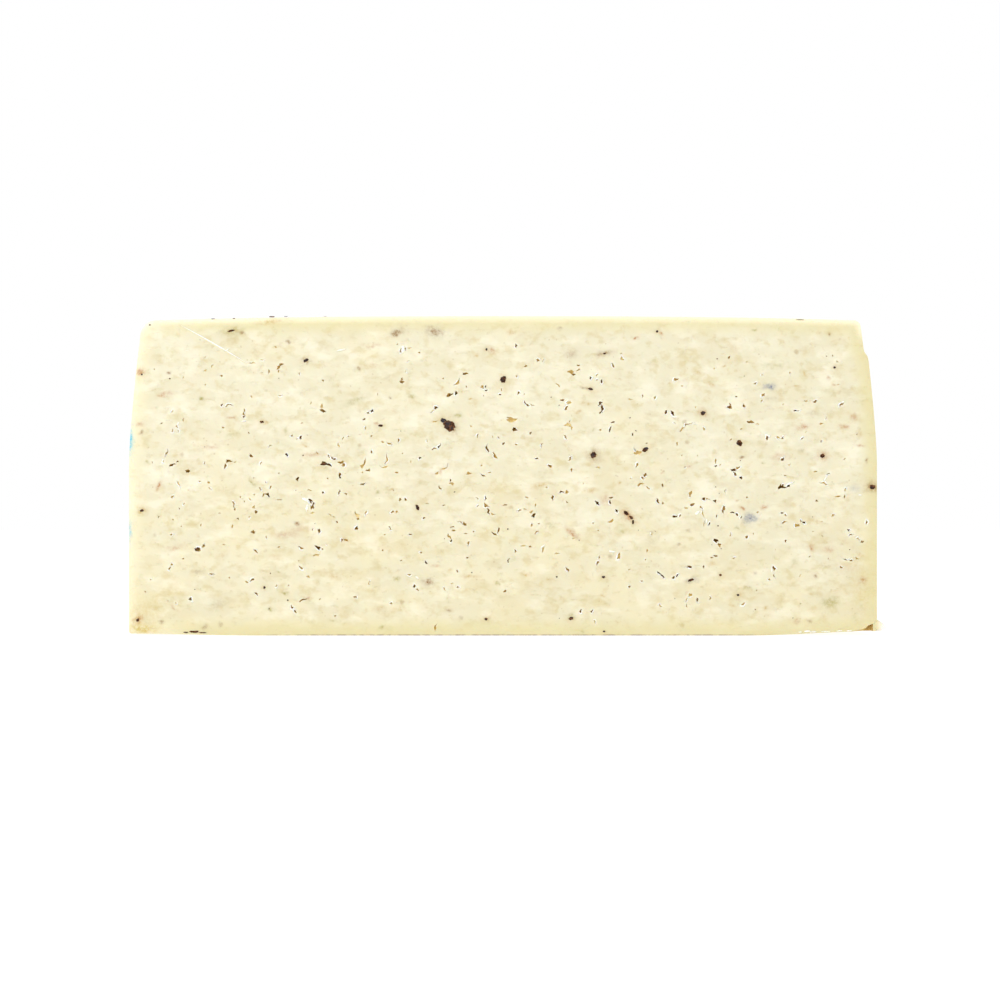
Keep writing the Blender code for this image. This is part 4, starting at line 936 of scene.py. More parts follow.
places = np.empty(len(body.data.vertices) * 3)
body.data.vertices.foreach_get("co", places)
places = places.reshape(-1, 3) - np.array((AXIS_X, CUT_Y, 0.0))
near_face = places[:, 1] < BEHIND_FACE
rim_distance = np.full(len(places), FAR_FROM_RIM)
for index in np.flatnonzero(near_face):
    rim_distance[index] = from_rim(places[index, 0], places[index, 2]) / MM
hole_tree = KDTree(len(holes))
for index, hole in enumerate(holes):
    hole_tree.insert((hole[0], 0.0, hole[1]), index)
hole_tree.balance()
# How dark each opening's wall is painted: partly truffle stain and partly painted shade.
darkness = np.zeros(len(places))
lip_pale_and_highlight = np.zeros(len(places))
for index in np.flatnonzero(near_face):
    x, z = places[index, 0], places[index, 2]
    best = 9.0
    for _, number, _ in hole_tree.find_n((x, 0.0, z), 4):
        hx, hz, length, width, tilt, dark, lip = holes[number]
        along = (x - hx) * math.cos(tilt) + (z - hz) * math.sin(tilt)
        aside = (z - hz) * math.cos(tilt) - (x - hx) * math.sin(tilt)
        inside = math.hypot(along / (length / 2), aside / (width / 2))
        if inside < best:
            best = inside
            darkness[index] = dark
        gap = math.hypot(max(0.0, abs(along) - length / 2), max(0.0, abs(aside) - width / 2))
        lip_pale_and_highlight[index] = max(lip_pale_and_highlight[index], lip * math.exp(-((gap / LIP_PALE_AND_HIGHLIGHT_REACH) ** 2)))
# The broken corner's wall gets the same painted shade.
in_wedge = (places[:, 0] > WEDGE_POINT[0]) & (places[:, 2] < WEDGE_TOP[1] + 0.2 * MM)
darkness[in_wedge] = WEDGE_SHADE
write_attribute(body.data, "rim_mm", "FLOAT", rim_distance)
# Painted highlight: the paste is painted paler along the top rim and, less, along the left rim, where the
# light falls.
top_side = ease(places[:, 2], 0.9 * HEIGHT, 0.97 * HEIGHT)
left_side = ease(-places[:, 0], 0.8 * RADIUS, 0.97 * RADIUS)
highlight_above = 0.85 * top_side * (1 - ease(rim_distance, 0.1, 2.6))
highlight_left = 0.5 * left_side * (1 - ease(rim_distance, 0.0, 6.0))
rim_highlight = np.maximum(highlight_above, highlight_left)
write_attribute(body.data, "rim_highlight", "FLOAT", rim_highlight)
# The yellow border is kept weaker along the left rim, under the painted highlight.
write_attribute(body.data, "border", "FLOAT", 1 - 0.6 * left_side)
write_attribute(body.data, "darkness", "FLOAT", darkness)
write_attribute(body.data, "lip", "FLOAT", lip_pale_and_highlight)
write_attribute(body.data, "patch", "FLOAT_COLOR", patch_marks(places[:, [0, 2]]))
print("strongest lip mark:", round(float(lip_pale_and_highlight.max()), 2))

# %% [markdown]
# ## Helpers for materials
#
# A material here is a net of small nodes: textures that vary from place to place, sums that shape them
# and mixes that turn them into colour. Making one node by hand takes several lines, so these helpers
# make a node and join it up in one. Every texture reads the point's own place in millimetres, so a
# pattern keeps its true size and nothing is stretched over the mesh.

# %% Small helpers for building materials from nodes
def node(tree, kind, inputs=None, **settings):
    """Adds a node. Inputs are given by name or number, as a value or as another node's output."""
    made = tree.nodes.new(kind)
    for name, value in settings.items():
        setattr(made, name, value)
    for name, value in (inputs or {}).items():
        if isinstance(value, bpy.types.NodeSocket):
            tree.links.new(value, made.inputs[name])
        else:
            made.inputs[name].default_value = value
    return made


def mixed(tree, factor, first, second):
    return node(tree, "ShaderNodeMix", {0: factor, 6: first, 7: second}, data_type="RGBA").outputs[2]


def between(tree, value, low, high, out_low=0.0, out_high=1.0):
    """Value eased from the range low to high onto another range."""
    made = node(tree, "ShaderNodeMapRange", {0: value, 1: low, 2: high, 3: out_low, 4: out_high},
                interpolation_type="SMOOTHSTEP")
    return made.outputs[0]


def maths(tree, operation, first, second=0.0, third=0.0):
    return node(tree, "ShaderNodeMath", {0: first, 1: second, 2: third}, operation=operation).outputs[0]


def times(tree, first, second):
    return maths(tree, "MULTIPLY", first, second)


def axes(tree, vector):
    """A vector's three parts."""
    return node(tree, "ShaderNodeSeparateXYZ", {0: vector}).outputs


def attribute(tree, name):
    return node(tree, "ShaderNodeAttribute", attribute_name=name).outputs["Fac"]


def millimetres(tree, stretch=(1.0, 1.0, 1.0)):
    """The point's place in the frame in millimetres, squeezed or stretched along each axis."""
    place = node(tree, "ShaderNodeTexCoord").outputs["Object"]
    factor = tuple(1000.0 * share for share in stretch)
    return node(tree, "ShaderNodeVectorMath", {0: place, 1: factor}, operation="MULTIPLY").outputs[0]


def noise_at(tree, place, scale, detail=2.0, roughness=0.5, output="Fac"):
    return node(tree, "ShaderNodeTexNoise", {"Vector": place, "Scale": scale, "Detail": detail,
                                             "Roughness": roughness}).outputs[output]


def warped(tree, place, scale, amount):
    """The place pushed about by a noise, so that straight patterns become irregular."""
    drift = noise_at(tree, place, scale, 3.0, 0.6, "Color")
    push = node(tree, "ShaderNodeVectorMath", {0: drift, 1: (0.5, 0.5, 0.5)}, operation="SUBTRACT")
    scaled = node(tree, "ShaderNodeVectorMath", {0: push.outputs[0], "Scale": amount}, operation="SCALE")
    return node(tree, "ShaderNodeVectorMath", {0: place, 1: scaled.outputs[0]}, operation="ADD").outputs[0]


def start(material):
    """The material's tree, cleared to one shader and its output."""
    material.use_nodes = True
    tree = material.node_tree
    tree.nodes.clear()
    shader = node(tree, "ShaderNodeBsdfPrincipled")
    out = node(tree, "ShaderNodeOutputMaterial")
    tree.links.new(shader.outputs[0], out.inputs[0])
    return tree, shader


def bump(tree, height, distance, normal=None):
    inputs = {"Height": height, "Distance": distance, "Strength": 1.0}
    if normal:
        inputs["Normal"] = normal
    return node(tree, "ShaderNodeBump", inputs).outputs[0]


def soften(shader, weight, scale):
    """Lets light into the surface this deep. Red travels farthest and blue least, as in cheese."""
    shader.inputs["Subsurface Weight"].default_value = weight
    shader.inputs["Subsurface Scale"].default_value = scale
    shader.inputs["Subsurface Radius"].default_value = (1.0, 0.62, 0.3)


# %% [markdown]
# ## Paste
#
# Cheese paste is pale, waxy and slightly see-through. Light goes in a millimetre or two and comes out
# warm, which subsurface scattering gives. Its pattern is the curds: flattened grains with faint seams.
# A stretched and warped Voronoi texture draws the seams, one noise breaks them up, others add blots,
# long soft streaks and pale places, and small dots stand for tiny specks. All of it is kept weak, as in
# the photograph. Towards the bottom the paste is painted a little warmer and darker, as painted shade.
# Over that come the marks written on the mesh: the yellow border, a painted highlight along the top and
# left rim, the soft patches, and paler paste round torn mouths, partly torn paste and partly painted
# highlight. A painted contact shadow lies as a thin dark line along the foot.

# %% Paste material
PASTE = (0.768, 0.727, 0.553, 1.0)
PASTE_WARM = (0.76, 0.695, 0.475, 1.0)
PASTE_COOL = (0.72, 0.672, 0.487, 1.0)
# Paler colour of the painted highlight along the top and left rim.
RIM_HIGHLIGHT = (0.92, 0.86, 0.65, 1.0)
BORDER = (0.70, 0.632, 0.345, 1.0)
SEAM = (0.54, 0.435, 0.205, 1.0)
SPECK = (0.42, 0.30, 0.14, 1.0)
WHITE_PASTE = (0.90, 0.87, 0.72, 1.0)
BLOT = (0.585, 0.475, 0.205, 1.0)
# Painted contact shadow along the foot: its colour, and its height and ends in millimetres.
FOOT_SHADOW = (0.27, 0.19, 0.175, 1.0)
FOOT_SHADOW_HEIGHT, FOOT_SHADOW_LEFT, FOOT_SHADOW_RIGHT = (0.12, 0.50), (-92.0, -50.0), (55.0, 108.0)

# Each kind of fleck: grains per millimetre, size in grains, share of grains that show, strength and colour.
SPECKLES = ((0.40, 0.16, 0.16, 0.35, SPECK), (0.16, 0.13, 0.55, 0.40, SEAM), (0.09, 0.10, 0.5, 0.5, SPECK))


def build_paste(material):
    tree, shader = start(material)
    place = millimetres(tree)
    slow = noise_at(tree, place, 0.035, 3.0)
    height = axes(tree, place)[2]
    # Painted shade: the paste is painted a little warmer and darker towards the bottom.
    low = between(tree, height, 5.0, 70.0, 0.3, 0.0)
    colour = mixed(tree, between(tree, maths(tree, "ADD", slow, low), 0.4, 0.9), PASTE, PASTE_WARM)
    grains = warped(tree, millimetres(tree, (1 / 8.0, 1 / 8.0, 1 / 3.6)), 1.1, 0.55)
    cell = node(tree, "ShaderNodeTexVoronoi", {"Vector": grains, "Scale": 1.0, "Smoothness": 0.5},
                feature="SMOOTH_F1")
    edge = node(tree, "ShaderNodeTexVoronoi", {"Vector": grains, "Scale": 1.0}, feature="DISTANCE_TO_EDGE")
    tone = node(tree, "ShaderNodeSeparateColor", {0: cell.outputs["Color"]}).outputs[0]
    colour = mixed(tree, between(tree, tone, 0.3, 0.9, 0.0, 0.17), colour, SEAM)
    cool_place = millimetres(tree, (0.09, 0.09, 0.13))
    cool = between(tree, noise_at(tree, cool_place, 1.0, 4.0, 0.6), 0.38, 0.66, 0.0, 0.75)
    colour = mixed(tree, cool, colour, PASTE_COOL)
    seam = between(tree, edge.outputs["Distance"], 0.0, 0.16, 1.0, 0.0)
    broken = between(tree, noise_at(tree, place, 0.3, 4.0, 0.65), 0.5, 0.68)
    seam = times(tree, seam, broken)
    colour = mixed(tree, times(tree, seam, 0.3), colour, SEAM)
    blot_place = warped(tree, millimetres(tree, (0.26, 0.26, 0.36)), 0.9, 0.8)
    blot = between(tree, noise_at(tree, blot_place, 1.0, 3.0, 0.5), 0.50, 0.76)
    colour = mixed(tree, times(tree, blot, 0.46), colour, BLOT)
    streak_place = warped(tree, millimetres(tree, (0.13, 0.13, 0.26)), 0.6, 0.7)
    streak = between(tree, noise_at(tree, streak_place, 1.0, 3.0, 0.55), 0.57, 0.74)
    colour = mixed(tree, times(tree, streak, 0.3), colour, SEAM)
    pale = between(tree, noise_at(tree, streak_place, 0.8, 3.0, 0.55), 0.30, 0.50, 1.0, 0.0)
    colour = mixed(tree, times(tree, pale, 0.36), colour, WHITE_PASTE)
    for scale, size, share, power, tint in SPECKLES:
        dots = node(tree, "ShaderNodeTexVoronoi", {"Vector": warped(tree, place, 0.8, 0.9), "Scale": scale},
                    feature="F1")
        lucky = node(tree, "ShaderNodeSeparateColor", {0: dots.outputs["Color"]}).outputs[1]
        dot = times(tree, between(tree, dots.outputs["Distance"], size * 0.3, size, power, 0.0),
                    between(tree, lucky, 1 - share, 1.04 - share))
        colour = mixed(tree, dot, colour, tint)
    rim = attribute(tree, "rim_mm")
    wobble = maths(tree, "MULTIPLY_ADD", noise_at(tree, place, 0.2, 3.0), 3.0, -1.5)
    rim = maths(tree, "ADD", rim, wobble)
    near_rim = times(tree, between(tree, rim, 1.0, 7.0, 0.75, 0.0), attribute(tree, "border"))
    colour = mixed(tree, near_rim, colour, BORDER)
    # Painted highlight along the top and left rim.
    colour = mixed(tree, attribute(tree, "rim_highlight"), colour, RIM_HIGHLIGHT)
    patch = node(tree, "ShaderNodeAttribute", attribute_name="patch")
    ragged = between(tree, noise_at(tree, place, 0.9, 5.0, 0.7), 0.28, 0.72, 0.3, 1.5)
    power = times(tree, patch.outputs["Alpha"], ragged)
    colour = mixed(tree, power, colour, patch.outputs["Color"])
    # Paler paste round torn mouths: partly torn paste, partly painted highlight.
    colour = mixed(tree, times(tree, attribute(tree, "lip"), 0.45), colour, WHITE_PASTE)
    # Painted contact shadow: a thin dark line along the foot, broken up by noise.
    frayed = between(tree, noise_at(tree, place, 0.35, 4.0, 0.7), 0.40, 0.56, 0.25, 0.9)
    along = axes(tree, place)[0]
    low_down = between(tree, height, *FOOT_SHADOW_HEIGHT, 1.0, 0.0)
    past_left = between(tree, along, *FOOT_SHADOW_LEFT)
    before_right = between(tree, along, *FOOT_SHADOW_RIGHT, 1.0, 0.0)
    line = times(tree, times(tree, low_down, frayed), times(tree, past_left, before_right))
    colour = mixed(tree, line, colour, FOOT_SHADOW)
    tree.links.new(colour, shader.inputs["Base Color"])
    grain = noise_at(tree, place, 2.6, 4.0, 0.6)
    tree.links.new(between(tree, grain, 0.3, 0.7, 0.40, 0.58), shader.inputs["Roughness"])
    normal = bump(tree, noise_at(tree, place, 1.1, 5.0, 0.62), 0.10 * MM)
    normal = bump(tree, times(tree, seam, -1.0), 0.12 * MM, normal)
    tree.links.new(normal, shader.inputs["Normal"])
    shader.inputs["Specular IOR Level"].default_value = 0.32
    soften(shader, 0.30, 1.6 * MM)


build_paste(paste)
print("paste nodes:", len(paste.node_tree.nodes))

# %% [markdown]
# Inside an opening the wall is painted tan to brown and, deep in the darkest ones, black: partly truffle
# stain and partly painted shade, darker with depth. How dark depends on the opening, so the wall reads
# the darkness written on the mesh and mixes it with its own depth behind the cut.

# %% Walls of the openings, torn lips and truffle
WALL_PALE = (0.84, 0.71, 0.38, 1.0)
WALL_TAN = (0.68, 0.49, 0.175, 1.0)
WALL_BROWN = (0.43, 0.245, 0.06, 1.0)
# Black of the painted shade deep inside the darkest openings.
WALL_SHADE = (0.085, 0.034, 0.010, 1.0)


def build_wall(material):
    tree, shader = start(material)
    place = millimetres(tree)
    depth = maths(tree, "SUBTRACT", axes(tree, place)[1], CUT_Y / MM)
    dark = attribute(tree, "darkness")
    mottle = noise_at(tree, place, 1.6, 4.0, 0.6)
    deep = between(tree, maths(tree, "MULTIPLY_ADD", mottle, 0.5, depth), 0.3, 1.1)
    uneven = maths(tree, "MULTIPLY_ADD", noise_at(tree, place, 0.55, 3.0, 0.6), 1.5, -0.78)
    dark = maths(tree, "ADD", dark, uneven)
    # The opening's darkness, partly truffle stain and partly painted shade, takes the wall from pale to tan
    # to brown.
    colour = mixed(tree, between(tree, dark, 0.15, 0.7), WALL_PALE, WALL_TAN)
    colour = mixed(tree, between(tree, dark, 0.65, 1.1), colour, WALL_BROWN)
    # Painted shade: the darkest openings turn black further behind the cut.
    black = times(tree, between(tree, dark, 0.89, 1.2), deep)
    colour = mixed(tree, black, colour, WALL_SHADE)
    mouth = between(tree, depth, 0.1, 0.4, 0.55, 0.0)
    colour = mixed(tree, times(tree, mouth, between(tree, dark, 0.6, 1.0, 1.0, 0.25)), colour, PASTE)
    tree.links.new(colour, shader.inputs["Base Color"])
    tree.links.new(bump(tree, mottle, 0.15 * MM), shader.inputs["Normal"])
    shader.inputs["Roughness"].default_value = 0.65
    shader.inputs["Specular IOR Level"].default_value = 0.05
    soften(shader, 0.25, 0.8 * MM)


TRUFFLE_INKY = (0.042, 0.038, 0.042, 1.0)
TRUFFLE_BROWN = (0.036, 0.015, 0.007, 1.0)
TRUFFLE_RUSTY = (0.19, 0.078, 0.034, 1.0)
TRUFFLE_SKIN = (0.19, 0.095, 0.045, 1.0)


def build_truffle(material):
    tree, shader = start(material)
    place = millimetres(tree)
    fine = noise_at(tree, place, 1.7, 5.0, 0.65)
    veins = node(tree, "ShaderNodeTexVoronoi", {"Vector": warped(tree, place, 0.9, 1.2), "Scale": 0.8},
                 feature="DISTANCE_TO_EDGE")
    tone = attribute(tree, "tone")
    uneven = between(tree, noise_at(tree, place, 0.5, 3.0, 0.6), 0.40, 0.60, -0.55, 0.55)
    colour = mixed(tree, maths(tree, "ADD", tone, uneven), TRUFFLE_INKY, TRUFFLE_BROWN)
    crumbs = between(tree, noise_at(tree, place, 0.8, 3.0, 0.6), 0.46, 0.62, 0.0, 0.9)
    colour = mixed(tree, times(tree, crumbs, tone), colour, TRUFFLE_RUSTY)
    outer = times(tree, between(tree, attribute(tree, "outer"), 0.2, 1.1), between(tree, fine, 0.3, 0.6))
    colour = mixed(tree, outer, colour, TRUFFLE_SKIN)
    vein = between(tree, veins.outputs["Distance"], 0.0, 0.07, 0.55, 0.0)
    colour = mixed(tree, times(tree, vein, between(tree, fine, 0.45, 0.6)), colour, TRUFFLE_SKIN)
    tree.links.new(colour, shader.inputs["Base Color"])
    tree.links.new(bump(tree, fine, 0.12 * MM), shader.inputs["Normal"])
    tree.links.new(between(tree, fine, 0.3, 0.7, 0.45, 0.75), shader.inputs["Roughness"])
    shader.inputs["Specular IOR Level"].default_value = 0.06


TORN_WHITE = (0.97, 0.945, 0.84, 1.0)


def build_torn(material):
    tree, shader = start(material)
    place = millimetres(tree)
    fine = noise_at(tree, place, 1.9, 4.0, 0.6)
    colour = mixed(tree, between(tree, fine, 0.45, 0.8), TORN_WHITE, PASTE)
    tree.links.new(colour, shader.inputs["Base Color"])
    tree.links.new(bump(tree, fine, 0.10 * MM), shader.inputs["Normal"])
    shader.inputs["Roughness"].default_value = 0.45
    soften(shader, 0.35, 1.0 * MM)


build_wall(wall)
build_truffle(truffle)
build_torn(torn)
print("wall, truffle and torn nodes:", [len(made.node_tree.nodes) for made in (wall, truffle, torn)])

# %% [markdown]
# ## Rind
#
# The rind is a thin straw-coloured skin. Cheese is pressed in cloth, and the weave stays behind as a
# fine net, clear in some places and faint in others. Folds of the cloth leave thin creases, and age adds
# ochre clouds, pale bloom and a few brown spots. On the side the net has to run round the wheel, and on
# the top straight across it. So both are worked out, and the way that the surface faces picks one.
# At the left end of the cut two soft blue stains reach round onto the side.

# %% Rind material
RIND_STRAW = (0.765, 0.655, 0.37, 1.0)
RIND_PALE = (0.835, 0.76, 0.505, 1.0)
RIND_OCHRE = (0.60, 0.455, 0.20, 1.0)
RIND_BLOOM = (0.88, 0.85, 0.70, 1.0)
RIND_SPOT = (0.20, 0.115, 0.055, 1.0)
INK = (0.07, 0.22, 0.50, 1.0)
WEAVE_STEP = 1.1
INK_SPOTS = ((440.0, 21.0, 1.0), (530.0, 18.0, 0.35))


def cloth_net(tree, first, second, drift):
    """Height of a plain weave over two coordinates in millimetres, from -1 to 1."""
    turns = 2 * math.pi / WEAVE_STEP
    warp = maths(tree, "SINE", maths(tree, "MULTIPLY_ADD", first, turns, drift))
    weft = maths(tree, "SINE", maths(tree, "MULTIPLY_ADD", second, turns, drift))
    return times(tree, warp, weft)


def spots_on(tree, place, scale, size, share):
    """Scattered round spots: grains per millimetre, size in grains and the share of grains that show."""
    dots = node(tree, "ShaderNodeTexVoronoi", {"Vector": warped(tree, place, 0.5, 1.5), "Scale": scale},
                feature="F1")
    lucky = node(tree, "ShaderNodeSeparateColor", {0: dots.outputs["Color"]}).outputs[0]
    return times(tree, between(tree, dots.outputs["Distance"], size * 0.3, size, 1.0, 0.0),
                 between(tree, lucky, 1 - share, 1.06 - share))


def build_rind(material):
    tree, shader = start(material)
    place = millimetres(tree)
    across, behind, height = axes(tree, place)
    from_axis_x = maths(tree, "SUBTRACT", across, AXIS_X / MM)
    from_axis_y = maths(tree, "SUBTRACT", behind, CUT_Y / MM)
    around = times(tree, maths(tree, "ARCTAN2", from_axis_y, from_axis_x), RADIUS / MM)
    upwards = axes(tree, node(tree, "ShaderNodeTexCoord").outputs["Normal"])[2]
    flatness = between(tree, maths(tree, "ABSOLUTE", upwards), 0.55, 0.85)
    drift = times(tree, noise_at(tree, place, 0.05, 3.0), 9.0)
    on_side = cloth_net(tree, around, height, drift)
    on_flat = cloth_net(tree, from_axis_x, from_axis_y, drift)
    weave = maths(tree, "MULTIPLY_ADD", maths(tree, "SUBTRACT", on_flat, on_side), flatness, on_side)
    pressed = between(tree, noise_at(tree, place, 0.03, 4.0, 0.6), 0.32, 0.58)
    cloud = noise_at(tree, place, 0.022, 6.0, 0.68)
    colour = mixed(tree, between(tree, cloud, 0.32, 0.68), RIND_STRAW, RIND_PALE)
    grain = noise_at(tree, warped(tree, place, 0.12, 5.0), 0.16, 6.0, 0.72)
    colour = mixed(tree, between(tree, grain, 0.50, 0.80, 0.0, 0.45), colour, RIND_OCHRE)
    bloom = noise_at(tree, warped(tree, place, 0.2, 4.0), 0.09, 6.0, 0.75)
    colour = mixed(tree, between(tree, bloom, 0.52, 0.74, 0.0, 0.45), colour, RIND_BLOOM)
    colour = mixed(tree, times(tree, between(tree, weave, -1.0, -0.1, 0.34, 0.0), pressed), colour,
                   RIND_OCHRE)
    folds = node(tree, "ShaderNodeTexVoronoi", {"Vector": warped(tree, place, 0.03, 26.0), "Scale": 0.02},
                 feature="DISTANCE_TO_EDGE")
    crease = times(tree, between(tree, folds.outputs["Distance"], 0.0, 0.013, 1.0, 0.0),
                   between(tree, noise_at(tree, place, 0.05, 2.0), 0.48, 0.62))
    colour = mixed(tree, times(tree, crease, 0.28), colour, RIND_OCHRE)
    colour = mixed(tree, times(tree, spots_on(tree, place, 0.075, 0.09, 0.30), 0.65), colour, RIND_SPOT)
    colour = mixed(tree, times(tree, spots_on(tree, place, 0.21, 0.13, 0.14), 0.45), colour, RIND_SPOT)
    for down, size, power in INK_SPOTS:
        spot_z = (FOOT_PIXEL - down) * PIXEL / MM
        up = maths(tree, "DIVIDE", maths(tree, "SUBTRACT", height, spot_z), size * PIXEL / MM / 2)
        back = maths(tree, "DIVIDE", from_axis_y, 9.0)
        reach = maths(tree, "ADD", maths(tree, "POWER", up, 2.0), maths(tree, "POWER", back, 2.0))
        left = between(tree, from_axis_x, -110.0, -100.0, 1.0, 0.0)
        patchy = between(tree, noise_at(tree, place, 0.35, 4.0, 0.6), 0.36, 0.55, 0.35, 1.0)
        ink = times(tree, between(tree, reach, 0.3, 1.1, power, 0.0), times(tree, left, patchy))
        colour = mixed(tree, ink, colour, INK)
    tree.links.new(colour, shader.inputs["Base Color"])
    tree.links.new(between(tree, grain, 0.3, 0.7, 0.42, 0.68), shader.inputs["Roughness"])
    weave_height = times(tree, weave, maths(tree, "MULTIPLY_ADD", pressed, 0.8, 0.2))
    normal = bump(tree, weave_height, 0.07 * MM)
    normal = bump(tree, noise_at(tree, place, 0.5, 6.0, 0.65), 0.35 * MM, normal)
    normal = bump(tree, times(tree, crease, -1.0), 0.3 * MM, normal)
    tree.links.new(normal, shader.inputs["Normal"])
    shader.inputs["Specular IOR Level"].default_value = 0.35
    soften(shader, 0.12, 1.2 * MM)


build_rind(rind)
print("rind nodes:", len(rind.node_tree.nodes))

# %% [markdown]
# ## Truffle pieces
#
# A shaving that the knife went through shows as a flat black shape with a crumbly outline. Each piece
# here is a low ragged lump: an oval stack of rings, nearly flat in front and rounded at its edge, sunk
# into the paste so that only a tenth of a millimetre stands proud.

# %% Lay the truffle pieces into the face
PROUD = 0.10 * MM
SUNK = 0.9 * MM
PIECE_CORNERS = 20
PIECE_RINGS = 4
HIGHEST = HEIGHT - 0.05 * MM
BIT_PROUD, BIT_SUNK = 0.05 * MM, 1.2 * MM
# Small dark bits along the top edge of the face and at the left end of the foot, laid in like the truffle
# pieces.
RIM_BITS = (
    (272, 316.6, 5.5, 1.4), (286, 316.3, 4, .8), (325, 315.9, 3, 1.2), (213, 318.9, 4, .8),
    (150, 325, 2.4, 1.4), (234, 318.6, 3, .7), (800, 319.8, 9, .7), (186, 632.3, 6, 1.4),
    (194, 631.6, 11, 2.4), (203, 632.6, 8, 1.2),
)


def lump(mesh, x, z, length, width, tilt, proud, sunk, draw):
    """A closed ragged lump through the surface of the face."""
    wobble = [1 + draw.uniform(-0.24, 0.16) for _ in range(PIECE_CORNERS)]
    surface = relief(x, z)
    rings = []
    for depth, size in ((-proud, 0.66), (-0.4 * proud, 0.95), (0.15 * MM, 1.02), (sunk, 0.6)):
        ring = []
        for corner, reach in enumerate(wobble):
            around = 2 * math.pi * corner / PIECE_CORNERS
            px, pz = place_on_face(x, z, tilt, size * reach * length / 2 * math.cos(around),
                                   size * reach * width / 2 * math.sin(around))
            uneven = draw.uniform(-0.15, 0.15) * proud
            ring.append(in_frame(px, surface + depth + uneven, min(pz, HIGHEST)))
        rings.append(ring)
    prism(mesh, rings)


piece_draw = random.Random(5)
mesh = bmesh.new()
# A truffle's flesh runs from blue-black, tone 0, to dark brown, tone 1. A row may give its own tone.
tones = [row[5] if len(row) > 5 else piece_draw.uniform(0.45, 1.0) for row in TRUFFLES]
for x, z, length, width, tilt in shavings:
    lump(mesh, x, z, length, width, tilt, PROUD, SUNK, piece_draw)
for across, down, length, width in RIM_BITS:
    x, z = on_face(across, down)
    lump(mesh, x, z, length * PIXEL, width * PIXEL, 0.0, BIT_PROUD, BIT_SUNK, piece_draw)
bmesh.ops.recalc_face_normals(mesh, faces=mesh.faces)
truffle_pieces = object_from(mesh, "truffle_pieces", [truffle])
ring_of_point = np.arange(len(truffle_pieces.data.vertices)) // PIECE_CORNERS
write_attribute(truffle_pieces.data, "outer", "FLOAT", np.where(ring_of_point % PIECE_RINGS > 0, 1.0, 0.0))
piece_of_point = ring_of_point // PIECE_RINGS
tones += [1.0] * (int(piece_of_point[-1]) + 1 - len(tones))
write_attribute(truffle_pieces.data, "tone", "FLOAT", np.array(tones)[piece_of_point])
print("truffle pieces:", len(truffle_pieces.data.polygons), "faces")

# %% [markdown]
# ## Torn lips
#
# Where the blade pulled at the edge of an opening, a thin pale lip stands up. It catches the light and
# reads as a white rim on one side of the hole. Each lip is a closed sliver that follows part of the
# mouth and tapers at both ends.

# %% Torn lips, flakes and the edge of the score
LIP_HIGH, LIP_WIDE = 0.18 * MM, 0.46 * MM
LEAST_LIP = 0.45
FLAKE_PROUD, FLAKE_SUNK = 0.26 * MM, 0.4 * MM
RIDGE_HIGH, RIDGE_WIDE, RIDGE_ASIDE, RIDGE_STEPS = 0.12 * MM, 0.52 * MM, 0.1 * MM, 30


def sliver(mesh, path, high, wide, sides):
    """A tapering ridge along a path on the face. sides gives the outward direction at each point."""
    sections = []
    last = len(path) - 1
    for step, ((x, z), (sx, sz)) in enumerate(zip(path, sides)):
        taper = max(0.06, math.sin(math.pi * step / last)) ** 0.7
        surface = relief(x, z)
        tall, broad = high * taper, wide * taper
        section = ((-0.10, 0.12 * MM), (0.06, -0.7 * tall), (0.30, -tall), (0.72, -0.35 * tall),
                   (1.0, 0.06 * MM), (0.5, 0.20 * MM))
        sections.append([in_frame(x + sx * out * broad, surface + depth, z + sz * out * broad)
                         for out, depth in section])
    prism(mesh, sections)


def lip_on(mesh, hole, outline_points, draw):
    """A sliver along part of an opening's mouth, longer and taller where the row asks for more lip."""
    x, z, _, _, tilt, _, lip = hole
    begin = draw.randrange(CORNERS)
    span = max(4, int(CORNERS * (0.35 + 0.45 * lip)))
    path, sides = [], []
    for step in range(span):
        along, aside = outline_points[(begin + step) % CORNERS]
        after_along, after_aside = outline_points[(begin + step + 1) % CORNERS]
        for share in (0.0, 0.5):
            a, b = along + (after_along - along) * share, aside + (after_aside - aside) * share
            path.append(place_on_face(x, z, tilt, a, b))
            size = math.hypot(a, b) or 1.0
            ux, uz = place_on_face(0, 0, tilt, a / size, b / size)
            sides.append((ux, uz))
    grow = 0.55 + 0.75 * lip
    high = LIP_HIGH * grow * draw.uniform(0.7, 1.15)
    wide = LIP_WIDE * grow * draw.uniform(0.7, 1.2)
    sliver(mesh, path, high, wide, sides)


lip_draw = random.Random(9)
mesh = bmesh.new()
lips = 0
for hole in holes:
    if hole[6] >= LEAST_LIP:
        lip_on(mesh, hole, mouths[hole], lip_draw)
        lips += 1
for across, down, length, width, tilt in FLAKES:
    x, z = on_face(across, down)
    lump(mesh, x, z, length * PIXEL, width * PIXEL, math.radians(tilt), FLAKE_PROUD, FLAKE_SUNK, lip_draw)
(x0, z0), (x1, z1) = on_face(*SCORE[0]), on_face(*SCORE[1])
side = Vector((z0 - z1, x1 - x0)).normalized()
path = []
for step in range(RIDGE_STEPS + 1):
    share = step / RIDGE_STEPS
    x, z = x0 + (x1 - x0) * share, z0 + (z1 - z0) * share
    path.append((x + side.x * RIDGE_ASIDE, z + side.y * RIDGE_ASIDE))
sliver(mesh, path, RIDGE_HIGH, RIDGE_WIDE, [(side.x, side.y)] * len(path))
bmesh.ops.recalc_face_normals(mesh, faces=mesh.faces)
torn_lips = object_from(mesh, "torn_lips", [torn])
print(lips, "torn lips,", len(torn_lips.data.polygons), "faces")

# %% [markdown]
# A pale tongue of paste hangs outside the broken corner. It is a solid through a row of rings, thick
# where it leaves the side and thin at its rounded tip. Its colour runs from yellow paste to almost
# white, because the thinner the cheese is, the more light it lets through.

